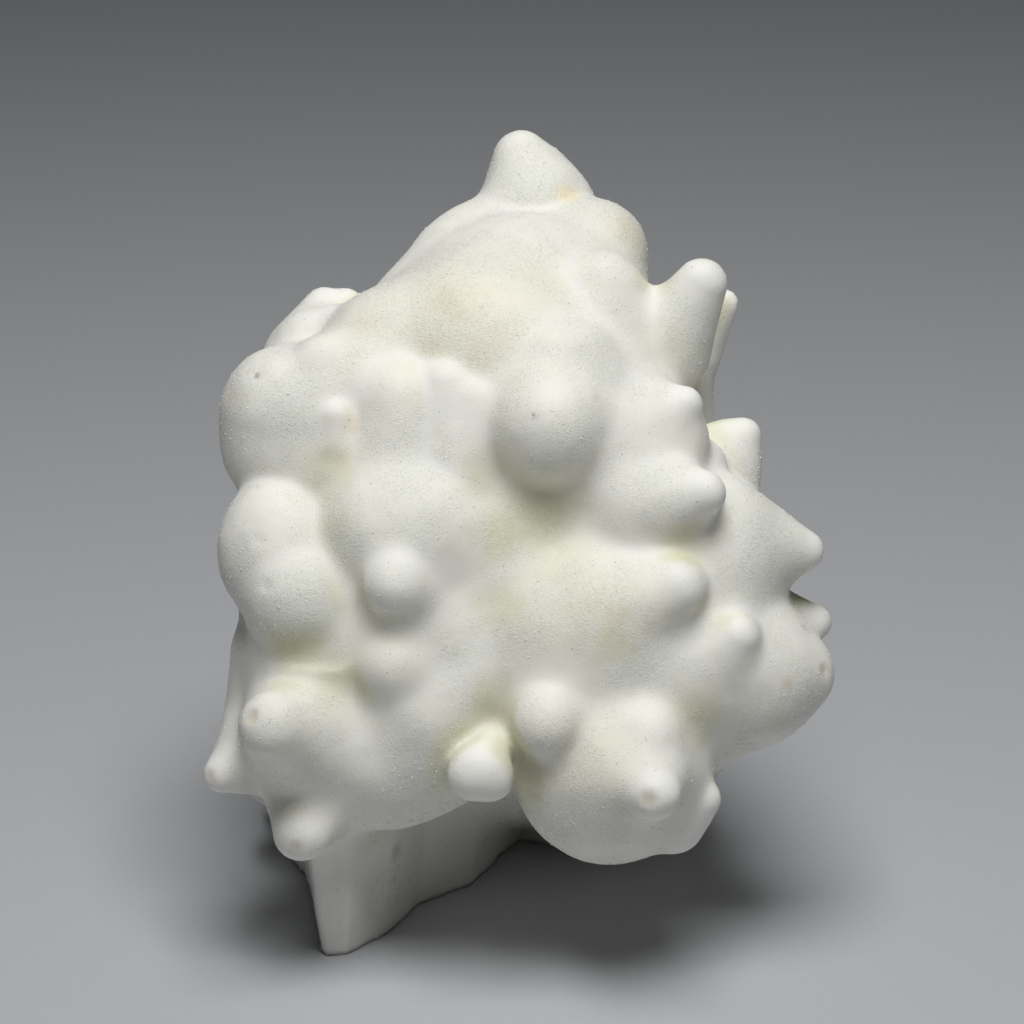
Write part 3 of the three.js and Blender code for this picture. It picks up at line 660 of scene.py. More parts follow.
FROSTS: tuple[Frost, ...] = (
    Frost("belly_low_left", (4, -35), 5.5, 110),
    Frost("belly_low", (8, -37), 4, 40),
    Frost("toe_side", (-19, -34), 4, 50),
    Frost("under_lobes", (-11.5, -30), 5, 30),
    Frost("fan_foot", (-9, 10), 6, 60),
    Frost("valley_top", (-4, 4.5), 5, 60),
    Frost("nose_foot", (-9, -7.5), 4, 20),
    Frost("lobe_foot", (-27.5, -10), 5, 30),
    Frost("lower_ear", (21.5, -32), 3, 25),
    Frost("rim_low", (29, -26), 5, 40),
    Frost("wall_behind", (25.5, 21), 5, 30),
)


def rise(values: Array, low: float, high: float) -> Array:
    """Turns values into shares that rise softly from 0 at low to 1 at high."""
    share = np.clip((values - low) / (high - low), 0, 1)
    return share * share * (3 - 2 * share)


@dataclass(frozen=True)
class Wave:
    """A smooth random wave over the skin."""

    height: float
    length: float
    octaves: int  # how many finer waves are laid on it
    seed: float  # which of the many waves it is

    def over(self, places: Array) -> Array:
        """Works out how high the wave is, mostly by less than its height up or down.

        Args:
            places: places in millimetres, one a row.

        Returns:
            One height for each place.
        """
        shift = Vector((self.seed, -self.seed, self.seed / 2))
        heights = []
        for place in places:
            here = Vector(place) / self.length + shift
            heights.append(noise.fractal(here, 1.0, 2.0, self.octaves))
        return self.height * np.array(heights)


@dataclass(frozen=True)
class Facets:
    """Small flat facets that tilt each its own way, as on freshly broken stone."""

    depth: float  # for each facet that tilts by its own width
    size: float  # about how wide a facet is
    seed: float  # which of the many sets of facets it is
    tilt_step: float = 7.3  # how far neighbours' tilts are drawn from each other
    rise_step: float = 3.1  # how far neighbours' rises are drawn from each other
    rise: float = 0.5  # how much a whole facet lies higher or lower

    def over(self, places: Array) -> Array:
        """Works out the facets' height.

        Args:
            places: places in millimetres, one a row.

        Returns:
            One height for each place.
        """
        shift = Vector((self.seed, self.seed, self.seed))
        heights = []
        for place in places:
            here = Vector(place) / self.size + shift
            middle = noise.voronoi(here)[1][0]
            tilt = noise.noise_vector(middle * self.tilt_step)
            lifted = self.rise * noise.noise(middle * self.rise_step)
            heights.append((here - middle).dot(tilt) + lifted)
        return self.depth * np.array(heights)


RAGGED = Wave(height=1.0, length=3.0, octaves=3, seed=5.0)
CLOUDS = Wave(height=1.0, length=11.0, octaves=3, seed=3.0)


def deselect() -> None:
    """Deselects everything, so that the next operator acts on one piece alone."""
    bpy.ops.object.select_all(action="DESELECT")


def only(piece: bpy.types.Object) -> None:
    """Selects one piece alone and makes it the active one.

    Args:
        piece: the piece to select.
    """
    deselect()
    piece.select_set(True)
    bpy.context.view_layer.objects.active = piece


def corners_of(piece: bpy.types.Object) -> Array:
    """Reads a piece's corners, in millimetres.

    Args:
        piece: the piece to read.

    Returns:
        The corners, one a row.
    """
    flat = np.zeros(len(piece.data.vertices) * 3, np.float32)
    piece.data.vertices.foreach_get("co", flat)
    return flat.reshape(-1, 3).astype(float) / MM


def move_corners(piece: bpy.types.Object, places: Array) -> None:
    """Puts a piece's corners at new places, in millimetres."""
    piece.data.vertices.foreach_set("co", (places * MM).astype(np.float32).ravel())
    piece.data.update()


def keep_on_corners(piece: bpy.types.Object, name: str, values: Array) -> None:
    """Keeps one number for each corner, for the finish to read."""
    layer = piece.data.attributes.new(name, "FLOAT", "POINT")
    layer.data.foreach_set("value", np.clip(values, 0, 1).astype(np.float32))


@dataclass
class Skin:
    """The lump's visible skin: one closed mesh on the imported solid's form."""

    form: Form
    spacing: float = 0.59  # between corners
    merge_distance: float = 0.002  # corners nearer than this are one
    settle_rounds: int = 3  # rounds of laying the corners on the form
    least_slope: float = 0.3  # gentlest slope, squared, that a corner is laid back along
    swell: Wave = Wave(height=0.22, length=9.0, octaves=2, seed=0.0)
    dimples: Wave = Wave(height=0.05, length=2.6, octaves=2, seed=11.0)
    facets: Facets = Facets(depth=0.55, size=3.2, seed=2.0)
    splinters: Facets = Facets(depth=0.22, size=1.2, seed=9.0)
    piece: bpy.types.Object = field(init=False)
    places: Array = field(init=False)  # the finished corners
    facing: Array = field(init=False)  # the way that the skin faces at each
    marks: dict[str, Array] = field(init=False)

    def build(self) -> bpy.types.Object:
        """Makes the skin and keeps its marks.

        Returns:
            The finished piece, without a finish.
        """
        self.piece = self.copy_solid()
        self.draw_finer()
        places = self.settle(corners_of(self.piece))
        facing = self.form.slope(places)
        self.facing = facing / np.maximum(np.linalg.norm(facing, axis=1), 1e-6)[:, None]
        self.marks = self.read_marks(places, self.facing)
        self.places = self.roughen(places, self.facing, self.marks)
        move_corners(self.piece, self.places)
        for name, values in self.marks.items():
            keep_on_corners(self.piece, name, values)
        only(self.piece)
        bpy.ops.object.shade_smooth()
        LOG.info("%s: %d corners", self.piece.name, len(self.piece.data.vertices))
        return self.piece

    def copy_solid(self) -> bpy.types.Object:
        """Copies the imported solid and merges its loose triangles.

        Returns:
            The copy, as a piece of its own.
        """
        only(frame["nodes"][NODE])
        bpy.ops.object.duplicate()
        piece = bpy.context.view_layer.objects.active
        piece.name = piece.data.name = "lump_skin"
        for key in list(piece.keys()):
            del piece[key]
        bpy.ops.object.parent_clear(type="CLEAR_KEEP_TRANSFORM")
        bpy.ops.object.mode_set(mode="EDIT")
        bpy.ops.mesh.select_all(action="SELECT")
        bpy.ops.mesh.remove_doubles(threshold=self.merge_distance * MM)
        bpy.ops.object.mode_set(mode="OBJECT")
        return piece

    def draw_finer(self) -> None:
        """Draws the skin again with small, even faces."""
        only(self.piece)
        bpy.ops.object.modifier_add(type="REMESH")
        finer = self.piece.modifiers[-1]
        finer.mode = "VOXEL"
        finer.voxel_size = self.spacing * MM
        finer.adaptivity = 0
        bpy.ops.object.modifier_apply(modifier=finer.name)

    def settle(self, places: Array) -> Array:
        """Lays corners on the form, each by the shortest way.

        Args:
            places: the corners' places, one a row.

        Returns:
            Their new places.
        """
        for _ in range(self.settle_rounds):
            away = self.form.whole(places)
            slope = self.form.slope(places)
            steep = np.maximum((slope * slope).sum(axis=1), self.least_slope)
            places = places - (away / steep)[:, None] * slope
        places[:, 2] = np.maximum(places[:, 2], 0)
        return places

    def read_marks(self, places: Array, facing: Array) -> dict[str, Array]:
        """Reads from the form where the stone is hollow, pointed, sugary, broken or stained, and
        how much painted shade its hollows and creases get.

        Args:
            places: the corners' places.
            facing: the way that the skin faces at each.

        Returns:
            A share from 0 to 1 for each corner, by the mark's name.
        """
        form = self.form
        hollow = FAR_SHARE * self.hollow(places, facing, FAR_LOOK)
        hollow += (1 - FAR_SHARE) * self.hollow(places, facing, MIDDLE_LOOK)
        pointed = rise(self.hollow(places, facing, -MIDDLE_LOOK), *TIP)
        depth = -form.grown(places)
        on_break = rise(form.breaks(places), *AT_BREAK) * rise(depth, *UNDER_SKIN)
        on_root = rise(-np.abs(form.root(places)), *AT_ROOT) * rise(-depth, *PAST_SKIN)
        on_root = on_root * rise(facing[:, 1], *FACING_BACK)
        under = rise(-places[:, 2], *AT_GROUND)
        ragged, clouds = RAGGED.over(places), CLOUDS.over(places)
        near = self.hollow(places, facing, NEAR_LOOK)
        marks = {
            # valley and crease: painted shade, stronger the more stone there is round a corner
            "valley_shade": rise(hollow + VALLEY_SHADE_RAGGED * ragged, *VALLEY_SHADE),
            "crease_shade": rise(near + CREASE_SHADE_RAGGED * ragged, *CREASE_SHADE),
            "cloud": rise(clouds, *CLOUD),
            "tip": pointed,
            "sugar": (1 - BARE_TIP * pointed) * rise(clouds + SUGAR_RAGGED * ragged, *SUGAR),
            "broken": np.maximum(np.maximum(on_break, on_root), under),
            "core": np.maximum(rise(depth, *CORE), ROOT_CORE * on_root),
            "rooted": np.maximum(on_root, under),
        }
        for tint, stains in STAINS_AND_SHADE.items():
            patch = marks[tint.value] = np.zeros(len(places))
            for stain in stains:
                reach = stain.reach(form, places) * (1 + STAIN_RAGGED * ragged)
                share = 1 - rise(reach, STAIN_HEART * stain.radius, stain.radius)
                np.maximum(patch, share * stain.strength, out=patch)
        return marks

    def hollow(self, places: Array, facing: Array, look: float) -> Array:
        """Tells how hollow the stone is round each corner.

        Args:
            places: the corners' places.
            facing: the way that the skin faces at each.
            look: how far out of the skin to look, or into the stone if less than nothing.

        Returns:
            For each corner 0 where the skin is flat, and more the more stone is round it, or,
            looking in, the less stone there is.
        """
        return 1 - self.form.whole(places + facing * look) / look

    def roughen(self, places: Array, facing: Array, marks: dict[str, Array]) -> Array:
        """Moves the corners by the waves of the grown skin and the facets of the broken stone.

        Args:
            places: the corners' places.
            facing: the way that the skin faces at each.
            marks: the marks of each corner.

        Returns:
            The corners' new places.
        """
        broken = marks["broken"]
        height = (1 - broken) * (self.swell.over(places) + self.dimples.over(places))
        torn = broken > HARDLY_BROKEN
        rough = self.facets.over(places[torn]) + self.splinters.over(places[torn])
        height[torn] += broken[torn] * rough
        moved = places + facing * height[:, None]
        for pit in PITS:
            reach = pit.reach(self.form, places)
            depth = pit.depth * (1 - rise(reach, PIT_FLOOR * pit.radius, pit.radius))
            moved -= facing * depth[:, None]
        flat = places[:, 2] < NEARLY_GROUND
        moved[flat] = places[flat]
        moved[:, 2] = np.maximum(moved[:, 2], 0)
        return moved


@dataclass(frozen=True)
class CrystalShape:
    """How large a kind of crystal is, and how it lies on the skin."""

    radius: float
    length: float
    flow: float  # how much neighbours point the same way
    lift: float  # how far they rise from the skin, from 0 for flat to 1 for any way


@dataclass
class CrystalGrains:
    """The tiny crystals that make the skin sugary, joined in one mesh."""

    skin: Skin
    grains: int = 8000
    grain: CrystalShape = CrystalShape(radius=0.055, length=0.15, flow=0, lift=0.4)
    needle: CrystalShape = CrystalShape(radius=0.035, length=0.36, flow=1, lift=0.1)
    sizes: tuple[float, float] = (0.55, 1.3)  # smallest and largest, as shares of the shape
    sides: int = 5
    point_height: float = 0.35  # of the crystal's point, as a share of its length
    middle: float = 0.1  # a corner nearer the axis than this is the point
    lowest: float = 1.0  # no crystal is nearer the ground than this
    slanting: Place = (0.31, 0.52, 0.79)  # a way that no crystal is likely to point
    seed: int = 3
    piece: bpy.types.Object = field(init=False)

    def build(self) -> bpy.types.Object:
        """Models one crystal and copies it all over the skin.

        Returns:
            The finished piece, without a finish.
        """
        self.piece = self.model_crystal()
        draw = np.random.default_rng(self.seed)
        batches = [self.scatter(draw, self.skin.marks["sugar"], self.grains, self.grain)]
        for patch in FROSTS:
            reach = patch.reach(self.skin.form, self.skin.places)
            chance = np.maximum(1 - reach / patch.radius, 0)
            batches.append(self.scatter(draw, chance, patch.needles, self.needle))
        corners = np.concatenate(batches)
        self.join_copies(corners, draw)
        LOG.info("%s: %d crystals", self.piece.name, len(corners))
        return self.piece

    def model_crystal(self) -> bpy.types.Object:
        """Models a five-sided crystal with a blunt point, one millimetre in radius and length.

        Returns:
            The crystal.
        """
        deselect()
        bpy.ops.mesh.primitive_cylinder_add(
            vertices=self.sides, radius=MM, depth=MM, end_fill_type="TRIFAN", location=(0, 0, 0)
        )
        crystal = bpy.context.object
        crystal.name = crystal.data.name = "crystal_grains"
        for corner in crystal.data.vertices:
            corner.select = corner.co.z > 0 and corner.co.xy.length < self.middle * MM
        bpy.ops.object.mode_set(mode="EDIT")
        bpy.ops.transform.translate(value=(0, 0, self.point_height * MM))
        bpy.ops.object.mode_set(mode="OBJECT")
        return crystal

    def place_copies(
        self, spots: Array, axes: Array, radii: Array, lengths: Array, turns: Array
    ) -> Array:
        """Works out the corners of copies of the crystal.

        Args:
            spots: the middle of each copy.
            axes: the way each copy points.
            radii: the radius of each.
            lengths: the length of each.
            turns: how far each is turned about its axis.

        Returns:
            The corners, one copy a row.
        """
        axes = axes / np.linalg.norm(axes, axis=1)[:, None]
        side = np.cross(axes, self.slanting)
        side /= np.linalg.norm(side, axis=1)[:, None]
        other = np.cross(axes, side)
        across = side * np.cos(turns)[:, None] + other * np.sin(turns)[:, None]
        along = np.cross(axes, across)
        shape = corners_of(self.piece)
        wide = shape[None, :, :1] * across[:, None] + shape[None, :, 1:2] * along[:, None]
        tall = shape[None, :, 2:] * axes[:, None]
        return spots[:, None] + wide * radii[:, None, None] + tall * lengths[:, None, None]

    def scatter(
        self, draw: np.random.Generator, chance: Array, count: int, shape: CrystalShape
    ) -> Array:
        """Scatters crystals over the skin, each lying nearly along it.

        Args:
            draw: where the random numbers come from.
            chance: how likely each corner of the skin is to get one.
            count: how many there are.
            shape: how large they are and how they lie.

        Returns:
            The corners of the crystals, one crystal a row.
        """
        skin = self.skin
        chance = chance * (1 - skin.marks["broken"]) * (skin.places[:, 2] > self.lowest)
        chosen = draw.choice(len(chance), count, p=chance / chance.sum())
        out = skin.facing[chosen]
        size = draw.uniform(*self.sizes, count)
        axes = draw.normal(0, 1, 3) * shape.flow + draw.normal(0, 1, (count, 3))
        axes -= (1 - shape.lift) * out * (axes * out).sum(axis=1)[:, None]
        slide = draw.uniform(-skin.spacing, skin.spacing, (count, 3)) / 2
        slide -= out * (out * slide).sum(axis=1)[:, None]
        turns = draw.uniform(0, math.tau, count)
        spots = skin.places[chosen] + slide
        return self.place_copies(spots, axes, shape.radius * size, shape.length * size, turns)

    def join_copies(self, copies: Array, draw: np.random.Generator) -> None:
        """Puts all the copies in the piece's mesh, each with its own shade.

        Args:
            copies: the corners of the copies, one copy a row.
            draw: where the random numbers come from.
        """
        crystal = self.piece.data
        faces = np.array([corner for face in crystal.polygons for corner in face.vertices])
        sizes = [len(face.vertices) for face in crystal.polygons]
        shape = len(crystal.vertices)
        corners = (faces[None] + shape * np.arange(len(copies))[:, None]).ravel()
        starts = np.concatenate(([0], np.cumsum(sizes * len(copies))[:-1]))
        mesh = bpy.data.meshes.new(self.piece.name)
        mesh.vertices.add(shape * len(copies))
        mesh.loops.add(len(corners))
        mesh.polygons.add(len(sizes) * len(copies))
        mesh.vertices.foreach_set("co", (copies * MM).astype(np.float32).ravel())
        mesh.loops.foreach_set("vertex_index", corners)
        mesh.polygons.foreach_set("loop_start", starts)
        mesh.update(calc_edges=True)
        self.piece.data = mesh
        bpy.data.meshes.remove(crystal)
        mesh.name = self.piece.name
        keep_on_corners(self.piece, "shade", np.repeat(draw.uniform(0, 1, len(copies)), shape))


# ---- finishes ----

Operand = Union["Value", float]


class Value:
    """A number that varies over the surface, so that sums on it read as sums."""

    def __init__(self, sheet: "Sheet", socket: bpy.types.NodeSocket) -> None:
        """Keeps the socket and the sheet that it is on."""
        self.sheet = sheet
        self.socket = socket

    def sum(self, operation: str, *operands: Operand) -> "Value":
        """Adds a Math node.

        Args:
            operation: the node's operation.
            operands: what it works on, in order.

        Returns:
            The node's result.
        """
        sockets = dict(enumerate(operands))
        return self.sheet.add("ShaderNodeMath", {"operation": operation}, sockets)

    def __add__(self, other: Operand) -> "Value":
        """Adds."""
        return self.sum("ADD", self, other)

    def __sub__(self, other: Operand) -> "Value":
        """Takes away."""
        return self.sum("SUBTRACT", self, other)

    def __rsub__(self, other: Operand) -> "Value":
        """Takes this away from the other."""
        return self.sum("SUBTRACT", other, self)

    def __mul__(self, other: Operand) -> "Value":
        """Multiplies."""
        return self.sum("MULTIPLY", self, other)

    __radd__ = __add__
    __rmul__ = __mul__

    def most(self, other: Operand) -> "Value":
        """Takes the larger of the two."""
        return self.sum("MAXIMUM", self, other)

    def rise(self, low: float, high: float) -> "Value":
        """Rises softly from 0 at low to 1 at high."""
        sockets = {"Value": self, "From Min": low, "From Max": high}
        return self.sheet.add("ShaderNodeMapRange", {"interpolation_type": "SMOOTHSTEP"}, sockets)


class Sheet:
    """A material's nodes, added one by one."""

    def __init__(self, name: str) -> None:
        """Starts a material with its shader and nothing feeding it.

        Args:
            name: the material's name.
        """
        self.material = bpy.data.materials.new(name)
        self.material.use_nodes = True
        self.tree = self.material.node_tree
        self.shader = self.tree.nodes["Principled BSDF"]

    def add(
        self,
        kind: str,
        settings: dict[str, Any] | None = None,
        sockets: dict[int | str, Any] | None = None,
        output: int | str = 0,
    ) -> Value:
        """Adds a node.

        Args:
            kind: the node's type.
            settings: what is set on it first, such as an operation.
            sockets: the values or links of its sockets, by name or place.
            output: the socket that gives its result.

        Returns:
            The result.
        """
        node = self.tree.nodes.new(kind)
        for key, value in (settings or {}).items():
            setattr(node, key, value)
        for key, value in (sockets or {}).items():
            self.feed(node.inputs[key], value)
        return Value(self, node.outputs[output])

    def feed(self, socket: bpy.types.NodeSocket, value: Any) -> None:
        """Links a value to a socket, or sets it there.

        Args:
            socket: the socket to feed.
            value: a value to link, or a number or colour to set.
        """
        if isinstance(value, Value):
            self.tree.links.new(value.socket, socket)
        elif isinstance(value, tuple) and len(value) == 3 and socket.type == "RGBA":
            socket.default_value = (*value, 1.0)
        else:
            socket.default_value = value

    def mark(self, name: str) -> Value:
        """Reads a mark that the piece's corners keep."""
        return self.add("ShaderNodeAttribute", {"attribute_name": name}, output="Fac")

    def mix(self, share: Operand, first: Any, second: Any) -> Value:
        """Mixes two colours by a share, from all of the first to all of the second."""
        settings = {"data_type": "RGBA"}
        return self.add("ShaderNodeMix", settings, {0: share, 6: first, 7: second}, output=2)

    def places(self, size: float) -> Value:
        """Gives places on the piece, in steps of a size in millimetres."""
        spot = self.add("ShaderNodeTexCoord", output="Object")
        return self.vector("SCALE", {0: spot, "Scale": 1 / (size * MM)})

    def vector(self, operation: str, sockets: dict[int | str, Any]) -> Value:
        """Adds a Vector Math node."""
        return self.add("ShaderNodeVectorMath", {"operation": operation}, sockets)

    def noise(self, size: float, detail: float = 2.0, roughness: float = 0.5) -> Value:
        """Makes soft noise with waves of a size in millimetres."""
        return self.noise_over(self.places(size), detail, roughness)

    def noise_over(self, places: Value, detail: float, roughness: float) -> Value:
        """Makes soft noise over places, with a wave to each whole step."""
        sockets = {"Vector": places, "Scale": 1.0, "Detail": detail, "Roughness": roughness}
        return self.add("ShaderNodeTexNoise", {}, sockets, output="Fac")

    def cells(self, size: float) -> tuple[Value, tuple[Value, Value]]:
        """Makes scattered cells of a size in millimetres.

        Args:
            size: the size of a cell.

        Returns:
            How far a place is from its cell's middle, and two numbers drawn for the whole cell.
        """
        sockets = {"Vector": self.places(size), "Scale": 1.0}
        near = self.add("ShaderNodeTexVoronoi", {}, sockets, "Distance")
        drawn = Value(self, near.socket.node.outputs["Color"])
        first = self.add("ShaderNodeSeparateColor", {}, {"Color": drawn})
        return near, (first, Value(self, first.socket.node.outputs["Green"]))

    def fibres(self, middle: Place, fineness: float, slow: float) -> Value:
        """Makes streaks that run straight out from a middle, as in a radiating mineral.

        Args:
            middle: where they start, in millimetres from the middle of the root.
            fineness: how many streaks there are in about half a turn.
            slow: the length, in millimetres, over which a streak changes.

        Returns:
            Their brightness.
        """
        spot = self.add("ShaderNodeTexCoord", output="Object")
        start = tuple(part * MM for part in middle)
        away = self.vector("SUBTRACT", {0: spot, 1: start})
        ray = self.vector("NORMALIZE", {0: away})
        fine = self.vector("SCALE", {0: ray, "Scale": fineness})
        place = self.vector("ADD", {0: fine, 1: self.places(slow)})
        return self.noise_over(place, 3.0, 0.6)

    def bump(self, height: Value) -> Value:
        """Turns a height in millimetres into a rough look."""
        return self.add("ShaderNodeBump", {}, {"Height": height, "Strength": 1.0, "Distance": MM})

    def principled(self, name: str) -> bpy.types.Node:
        """Adds another shader of the usual kind.

        Args:
            name: the shader's name.

        Returns:
            The shader.
        """
        node = self.tree.nodes.new("ShaderNodeBsdfPrincipled")
        node.name = name
        return node

    def blend_shaders(self, share: Value, first: bpy.types.Node, second: bpy.types.Node) -> None:
        """Shows the first shader where the share is 0 and the second where it is 1.

        Args:
            share: how much of the second shows.
            first: the one shader.
            second: the other shader.
        """
        mixer = self.tree.nodes.new("ShaderNodeMixShader")
        self.feed(mixer.inputs[0], share)
        self.tree.links.new(first.outputs[0], mixer.inputs[1])
        self.tree.links.new(second.outputs[0], mixer.inputs[2])
        surface = self.tree.nodes["Material Output"].inputs["Surface"]
        self.tree.links.new(mixer.outputs[0], surface)


@dataclass(frozen=True)
class GrownStone:
    """The finish of the skin that grew: white and satin, sugary away from the tips."""

    tip: Colour = (0.915, 0.905, 0.865)
    white: Colour = (0.905, 0.895, 0.82)
    cool: Colour = (0.86, 0.86, 0.795)
    cream: Colour = (0.89, 0.86, 0.72)
    # the valleys' olive tint, also used as their painted shade
    olive_and_shade: Colour = (0.53, 0.52, 0.22)
    tan: Colour = (0.60, 0.46, 0.28)
    rose: Colour = (0.72, 0.58, 0.48)
    yellow: Colour = (0.86, 0.72, 0.34)
    dirt: Colour = (0.16, 0.12, 0.08)
    dust: Colour = (0.42, 0.42, 0.34)
    # how strongly the form colours the stone; the valley and crease shares are painted shade
    # towards olive
    tip_share: float = 0.6
    valley_shade_share: float = 0.42
    crease_shade_share: float = 0.05
    patchy: float = 1.3  # how much the grain breaks up a stain
    patch_base: float = 0.35  # of a stain, where the grain is darkest
    # the grain, in millimetres, and how much lighter and darker it is
    grain_size: float = 0.24
    grain_detail: float = 2.0
    grain_roughness: float = 0.7
    cell_size: float = 0.42
    cell_salt: float = 0.22
    sugar_salt: float = 0.9
    plain_salt: float = 0.3
    # dark specks and glinting crystals, each in a share of the cells
    speckless: tuple[float, float] = (0.994, 0.9945)
    speck_edge: tuple[float, float] = (0.15, 0.3)
    speck_share: float = 0.55
    glinting: tuple[float, float] = (0.05, 0.06)
    # roughness, height of the grain in millimetres, and the glow
    satin: float = 0.62
    satin_swing: float = 0.2
    glitter: float = 0.2
    sugar_height: float = 0.11
    plain_height: float = 0.03
    refraction: float = 1.6
    shine: float = 0.3
    inner_glow: float = 0.35
    glow_spread: Colour = (1.0, 1.0, 0.75)
    glow_depth: float = 1.5

    def tints(self) -> dict[Tint, Colour]:
        """Gives the colour of each tint that lies over the others.

        Returns:
            The colours, by the tint.
        """
        return {
            Tint.OLIVE_AND_SHADE: self.olive_and_shade, Tint.TAN: self.tan, Tint.ROSE: self.rose,
            Tint.YELLOW: self.yellow, Tint.DIRT: self.dirt,
        }

    def dress(self, sheet: Sheet, shader: bpy.types.Node) -> None:
        """Feeds a shader with the finish.

        Args:
            sheet: the material's nodes.
            shader: the shader to feed.
        """
        valley_shade, crease_shade, sugar = sheet.mark("valley_shade"), sheet.mark("crease_shade"), sheet.mark("sugar")
        grain = sheet.noise(self.grain_size, self.grain_detail, self.grain_roughness)
        near, (lot, pale) = sheet.cells(self.cell_size)

        colour = sheet.mix(sheet.mark("cloud"), self.white, self.cool)
        colour = sheet.mix(sheet.mark("cream"), colour, self.cream)
        colour = sheet.mix(sheet.mark("tip") * self.tip_share, colour, self.tip)
        # painted shade: the hollows and creases are darkened towards olive by how hollow the
        # stone is round them
        colour = sheet.mix(valley_shade * self.valley_shade_share, colour, self.olive_and_shade)
        colour = sheet.mix(crease_shade * self.crease_shade_share, colour, self.olive_and_shade)
        for tint, shade in self.tints().items():
            patch = sheet.mark(tint.value) * (grain * self.patchy + self.patch_base)
            colour = sheet.mix(patch, colour, shade)

        salt = (pale - 0.5) * sugar * self.cell_salt
        salt = salt + (grain - 0.5) * (sugar * self.sugar_salt + self.plain_salt)
        colour = sheet.mix(salt.most(0.0), colour, self.white)
        colour = sheet.mix((0.0 - salt).most(0.0), colour, self.dust)
        speck = lot.rise(*self.speckless) * (1.0 - near.rise(*self.speck_edge))
        colour = sheet.mix(speck * self.speck_share, colour, self.dirt)

        glint = (1.0 - lot.rise(*self.glinting)) * sugar
        rough = self.satin + (grain - 0.5) * self.satin_swing
        rough = rough - glint * (self.satin - self.glitter)
        height = grain * (sugar * self.sugar_height + self.plain_height)
        sheet.feed(shader.inputs["Base Color"], colour)
        sheet.feed(shader.inputs["Roughness"], rough)
        sheet.feed(shader.inputs["Normal"], sheet.bump(height))
        shader.inputs["IOR"].default_value = self.refraction
        shader.inputs["Specular IOR Level"].default_value = self.shine
        shader.inputs["Subsurface Weight"].default_value = self.inner_glow
        shader.inputs["Subsurface Radius"].default_value = self.glow_spread
        shader.inputs["Subsurface Scale"].default_value = self.glow_depth * MM


@dataclass(frozen=True)
class BrokenStone:
    """The finish of the broken faces and the root: a white rim round grey radiating fibres."""

    rim: Colour = (0.80, 0.81, 0.78)
    fibre: Colour = (0.62, 0.63, 0.60)
    gap: Colour = (0.30, 0.31, 0.28)
    rooted: Colour = (0.30, 0.27, 0.21)
    middle: Place = (2, -8, 42)
    fineness: float = 60
    slow: float = 7
    gap_edge: tuple[float, float] = (0.32, 0.62)  # of the fibres' brightness
    rooted_share: float = 0.4
    dullest: float = 0.7
    gloss: float = 0.55
    fibre_height: float = 0.5  # millimetres
    refraction: float = 1.6

    def dress(self, sheet: Sheet, shader: bpy.types.Node) -> None:
        """Feeds a shader with the finish.

        Args:
            sheet: the material's nodes.
            shader: the shader to feed.
        """
        fibres = sheet.fibres(self.middle, self.fineness, self.slow)
        colour = sheet.mix(fibres.rise(*self.gap_edge), self.gap, self.fibre)
        colour = sheet.mix(sheet.mark("core"), self.rim, colour)
        colour = sheet.mix(sheet.mark("rooted") * self.rooted_share, colour, self.rooted)
        sheet.feed(shader.inputs["Base Color"], colour)
        sheet.feed(shader.inputs["Roughness"], self.dullest - fibres * self.gloss)
        sheet.feed(shader.inputs["Normal"], sheet.bump(fibres * self.fibre_height))
        shader.inputs["IOR"].default_value = self.refraction


@dataclass(frozen=True)
class CrystalSugar:
    """The finish of the tiny crystals: clear white to grey, and glossy."""

    bright: Colour = (0.97, 0.97, 0.95)
    dull: Colour = (0.88, 0.88, 0.84)
    gloss: float = 0.2
    spread: float = 0.4
    haze_size: float = 1.2  # millimetres
    haze_detail: float = 1.0
    refraction: float = 1.6

    def make(self) -> bpy.types.Material:
        """Makes the material.

        Returns:
            The material, dressed with the finish.
        """
        sheet = Sheet("crystal_sugar")
        shade = sheet.mark("shade")
        haze = sheet.noise(self.haze_size, self.haze_detail)
        sheet.feed(sheet.shader.inputs["Base Color"], sheet.mix(shade, self.dull, self.bright))
        sheet.feed(sheet.shader.inputs["Roughness"], self.gloss + haze * shade * self.spread)
        sheet.shader.inputs["IOR"].default_value = self.refraction
        return sheet.material


def aragonite() -> bpy.types.Material:
    """Makes the stone's material: grown skin, and broken stone where the skin is gone.

    Returns:
        The material.
    """
    sheet = Sheet("aragonite")
    torn = sheet.principled("broken_stone")
    GrownStone().dress(sheet, sheet.shader)
    BrokenStone().dress(sheet, torn)
    sheet.blend_shaders(sheet.mark("broken"), sheet.shader, torn)
    return sheet.material


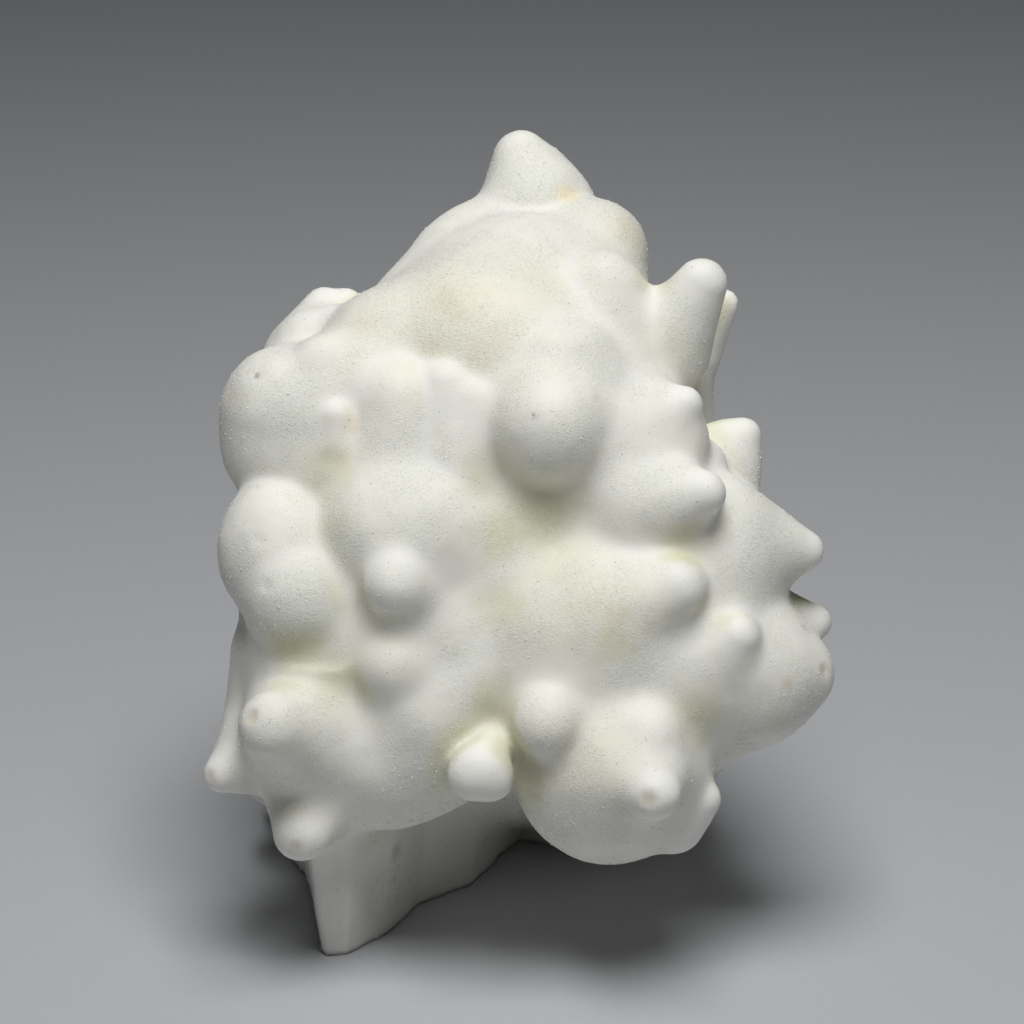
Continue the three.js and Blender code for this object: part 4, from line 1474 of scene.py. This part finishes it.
@dataclass(frozen=True)
class Studio:
    """The pale floor, the soft light and the camera."""

    floor_colour: Colour = (0.50, 0.51, 0.53)
    floor_half: float = 3.0  # metres
    floor_roughness: float = 0.85
    paper_size: float = 1.5  # of the floor's faint grain, in millimetres
    paper_detail: float = 2.0
    paper_shade: float = 0.96  # of the floor's colour, in the grain
    paper_height: float = 0.01
    key_place: Place = (20, -210, 620)
    key_aim: Place = (0, 0, 50)
    key_size: float = 320
    key_power: float = 3.5  # watts
    room_colour: Colour = (0.5, 0.5, 0.5)
    room_strength: float = 0.07
    camera_distance: float = 450.0
    frame_width: float = 129.33  # what the camera takes in at the face's middle
    face_below_middle: float = 28 / 1024  # as a share of that width
    sensor: float = 36.0
    clip_start: float = 0.01  # metres

    def build(self) -> None:
        """Sets the floor, the light, the room and the camera."""
        self.lay_floor()
        self.hang_light("key_light", self.key_place, self.key_size, self.key_power)
        self.fill_world()
        self.aim_camera()
        LOG.info("studio: floor, light and camera")

    def lay_floor(self) -> None:
        """Lays the pale floor."""
        deselect()
        bpy.ops.mesh.primitive_plane_add(size=2 * self.floor_half, location=(0, 0, 0))
        floor = bpy.context.object
        floor.name = floor.data.name = "floor"
        sheet = Sheet("floor_paper")
        paper = sheet.noise(self.paper_size, self.paper_detail)
        shade = tuple(self.paper_shade * part for part in self.floor_colour)
        sheet.feed(sheet.shader.inputs["Base Color"], sheet.mix(paper, self.floor_colour, shade))
        sheet.feed(sheet.shader.inputs["Normal"], sheet.bump(paper * self.paper_height))
        sheet.shader.inputs["Roughness"].default_value = self.floor_roughness
        floor.data.materials.append(sheet.material)

    def hang_light(self, name: str, place: Place, size: float, power: float) -> None:
        """Hangs a soft square light that looks at the lump.

        Args:
            name: the light's name.
            place: where it hangs, in millimetres.
            size: its side, in millimetres.
            power: its power, in watts.
        """
        deselect()
        spot = Vector(place) * MM
        aim = (Vector(self.key_aim) * MM - spot).to_track_quat("-Z", "Y").to_euler()
        bpy.ops.object.light_add(type="AREA", location=spot, rotation=aim)
        light = bpy.context.object
        light.name = name
        light.data.size = size * MM
        light.data.energy = power

    def fill_world(self) -> None:
        """Fills the room with even, pale light."""
        world = bpy.data.worlds.new("room")
        world.use_nodes = True
        sky = world.node_tree.nodes["Background"]
        sky.inputs["Color"].default_value = (*self.room_colour, 1)
        sky.inputs["Strength"].default_value = self.room_strength
        bpy.context.scene.world = world

    def aim_camera(self) -> None:
        """Aims the camera square at the knobbly face."""
        back = Vector((0, -math.cos(FACE_LEAN), math.sin(FACE_LEAN)))
        place = (Vector(FACE_CENTRE) + back * self.camera_distance) * MM
        aim = (-back).to_track_quat("-Z", "Y").to_euler()
        bpy.ops.object.camera_add(location=place, rotation=aim)
        camera = bpy.context.object
        camera.name = "camera"
        camera.data.sensor_width = self.sensor
        camera.data.lens = self.sensor * self.camera_distance / self.frame_width
        camera.data.shift_y = self.face_below_middle
        camera.data.clip_start = self.clip_start
        bpy.context.scene.camera = camera
        bpy.context.scene.view_settings.view_transform = "Standard"


def dress(piece: bpy.types.Object, finish: bpy.types.Material) -> None:
    """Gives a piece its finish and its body.

    Args:
        piece: the finished piece.
        finish: its material.
    """
    piece.data.materials.clear()
    piece.data.materials.append(finish)
    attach(piece, BODY)


def main() -> None:
    """Builds the lump's skin and its studio."""
    noise.seed_set(TILT_SEED)
    skin = Skin(Form(GROWTHS))
    dress(skin.build(), aragonite())
    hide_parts(NODE)
    dress(CrystalGrains(skin).build(), CrystalSugar().make())
    Studio().build()


if __name__ == "__main__":
    main()
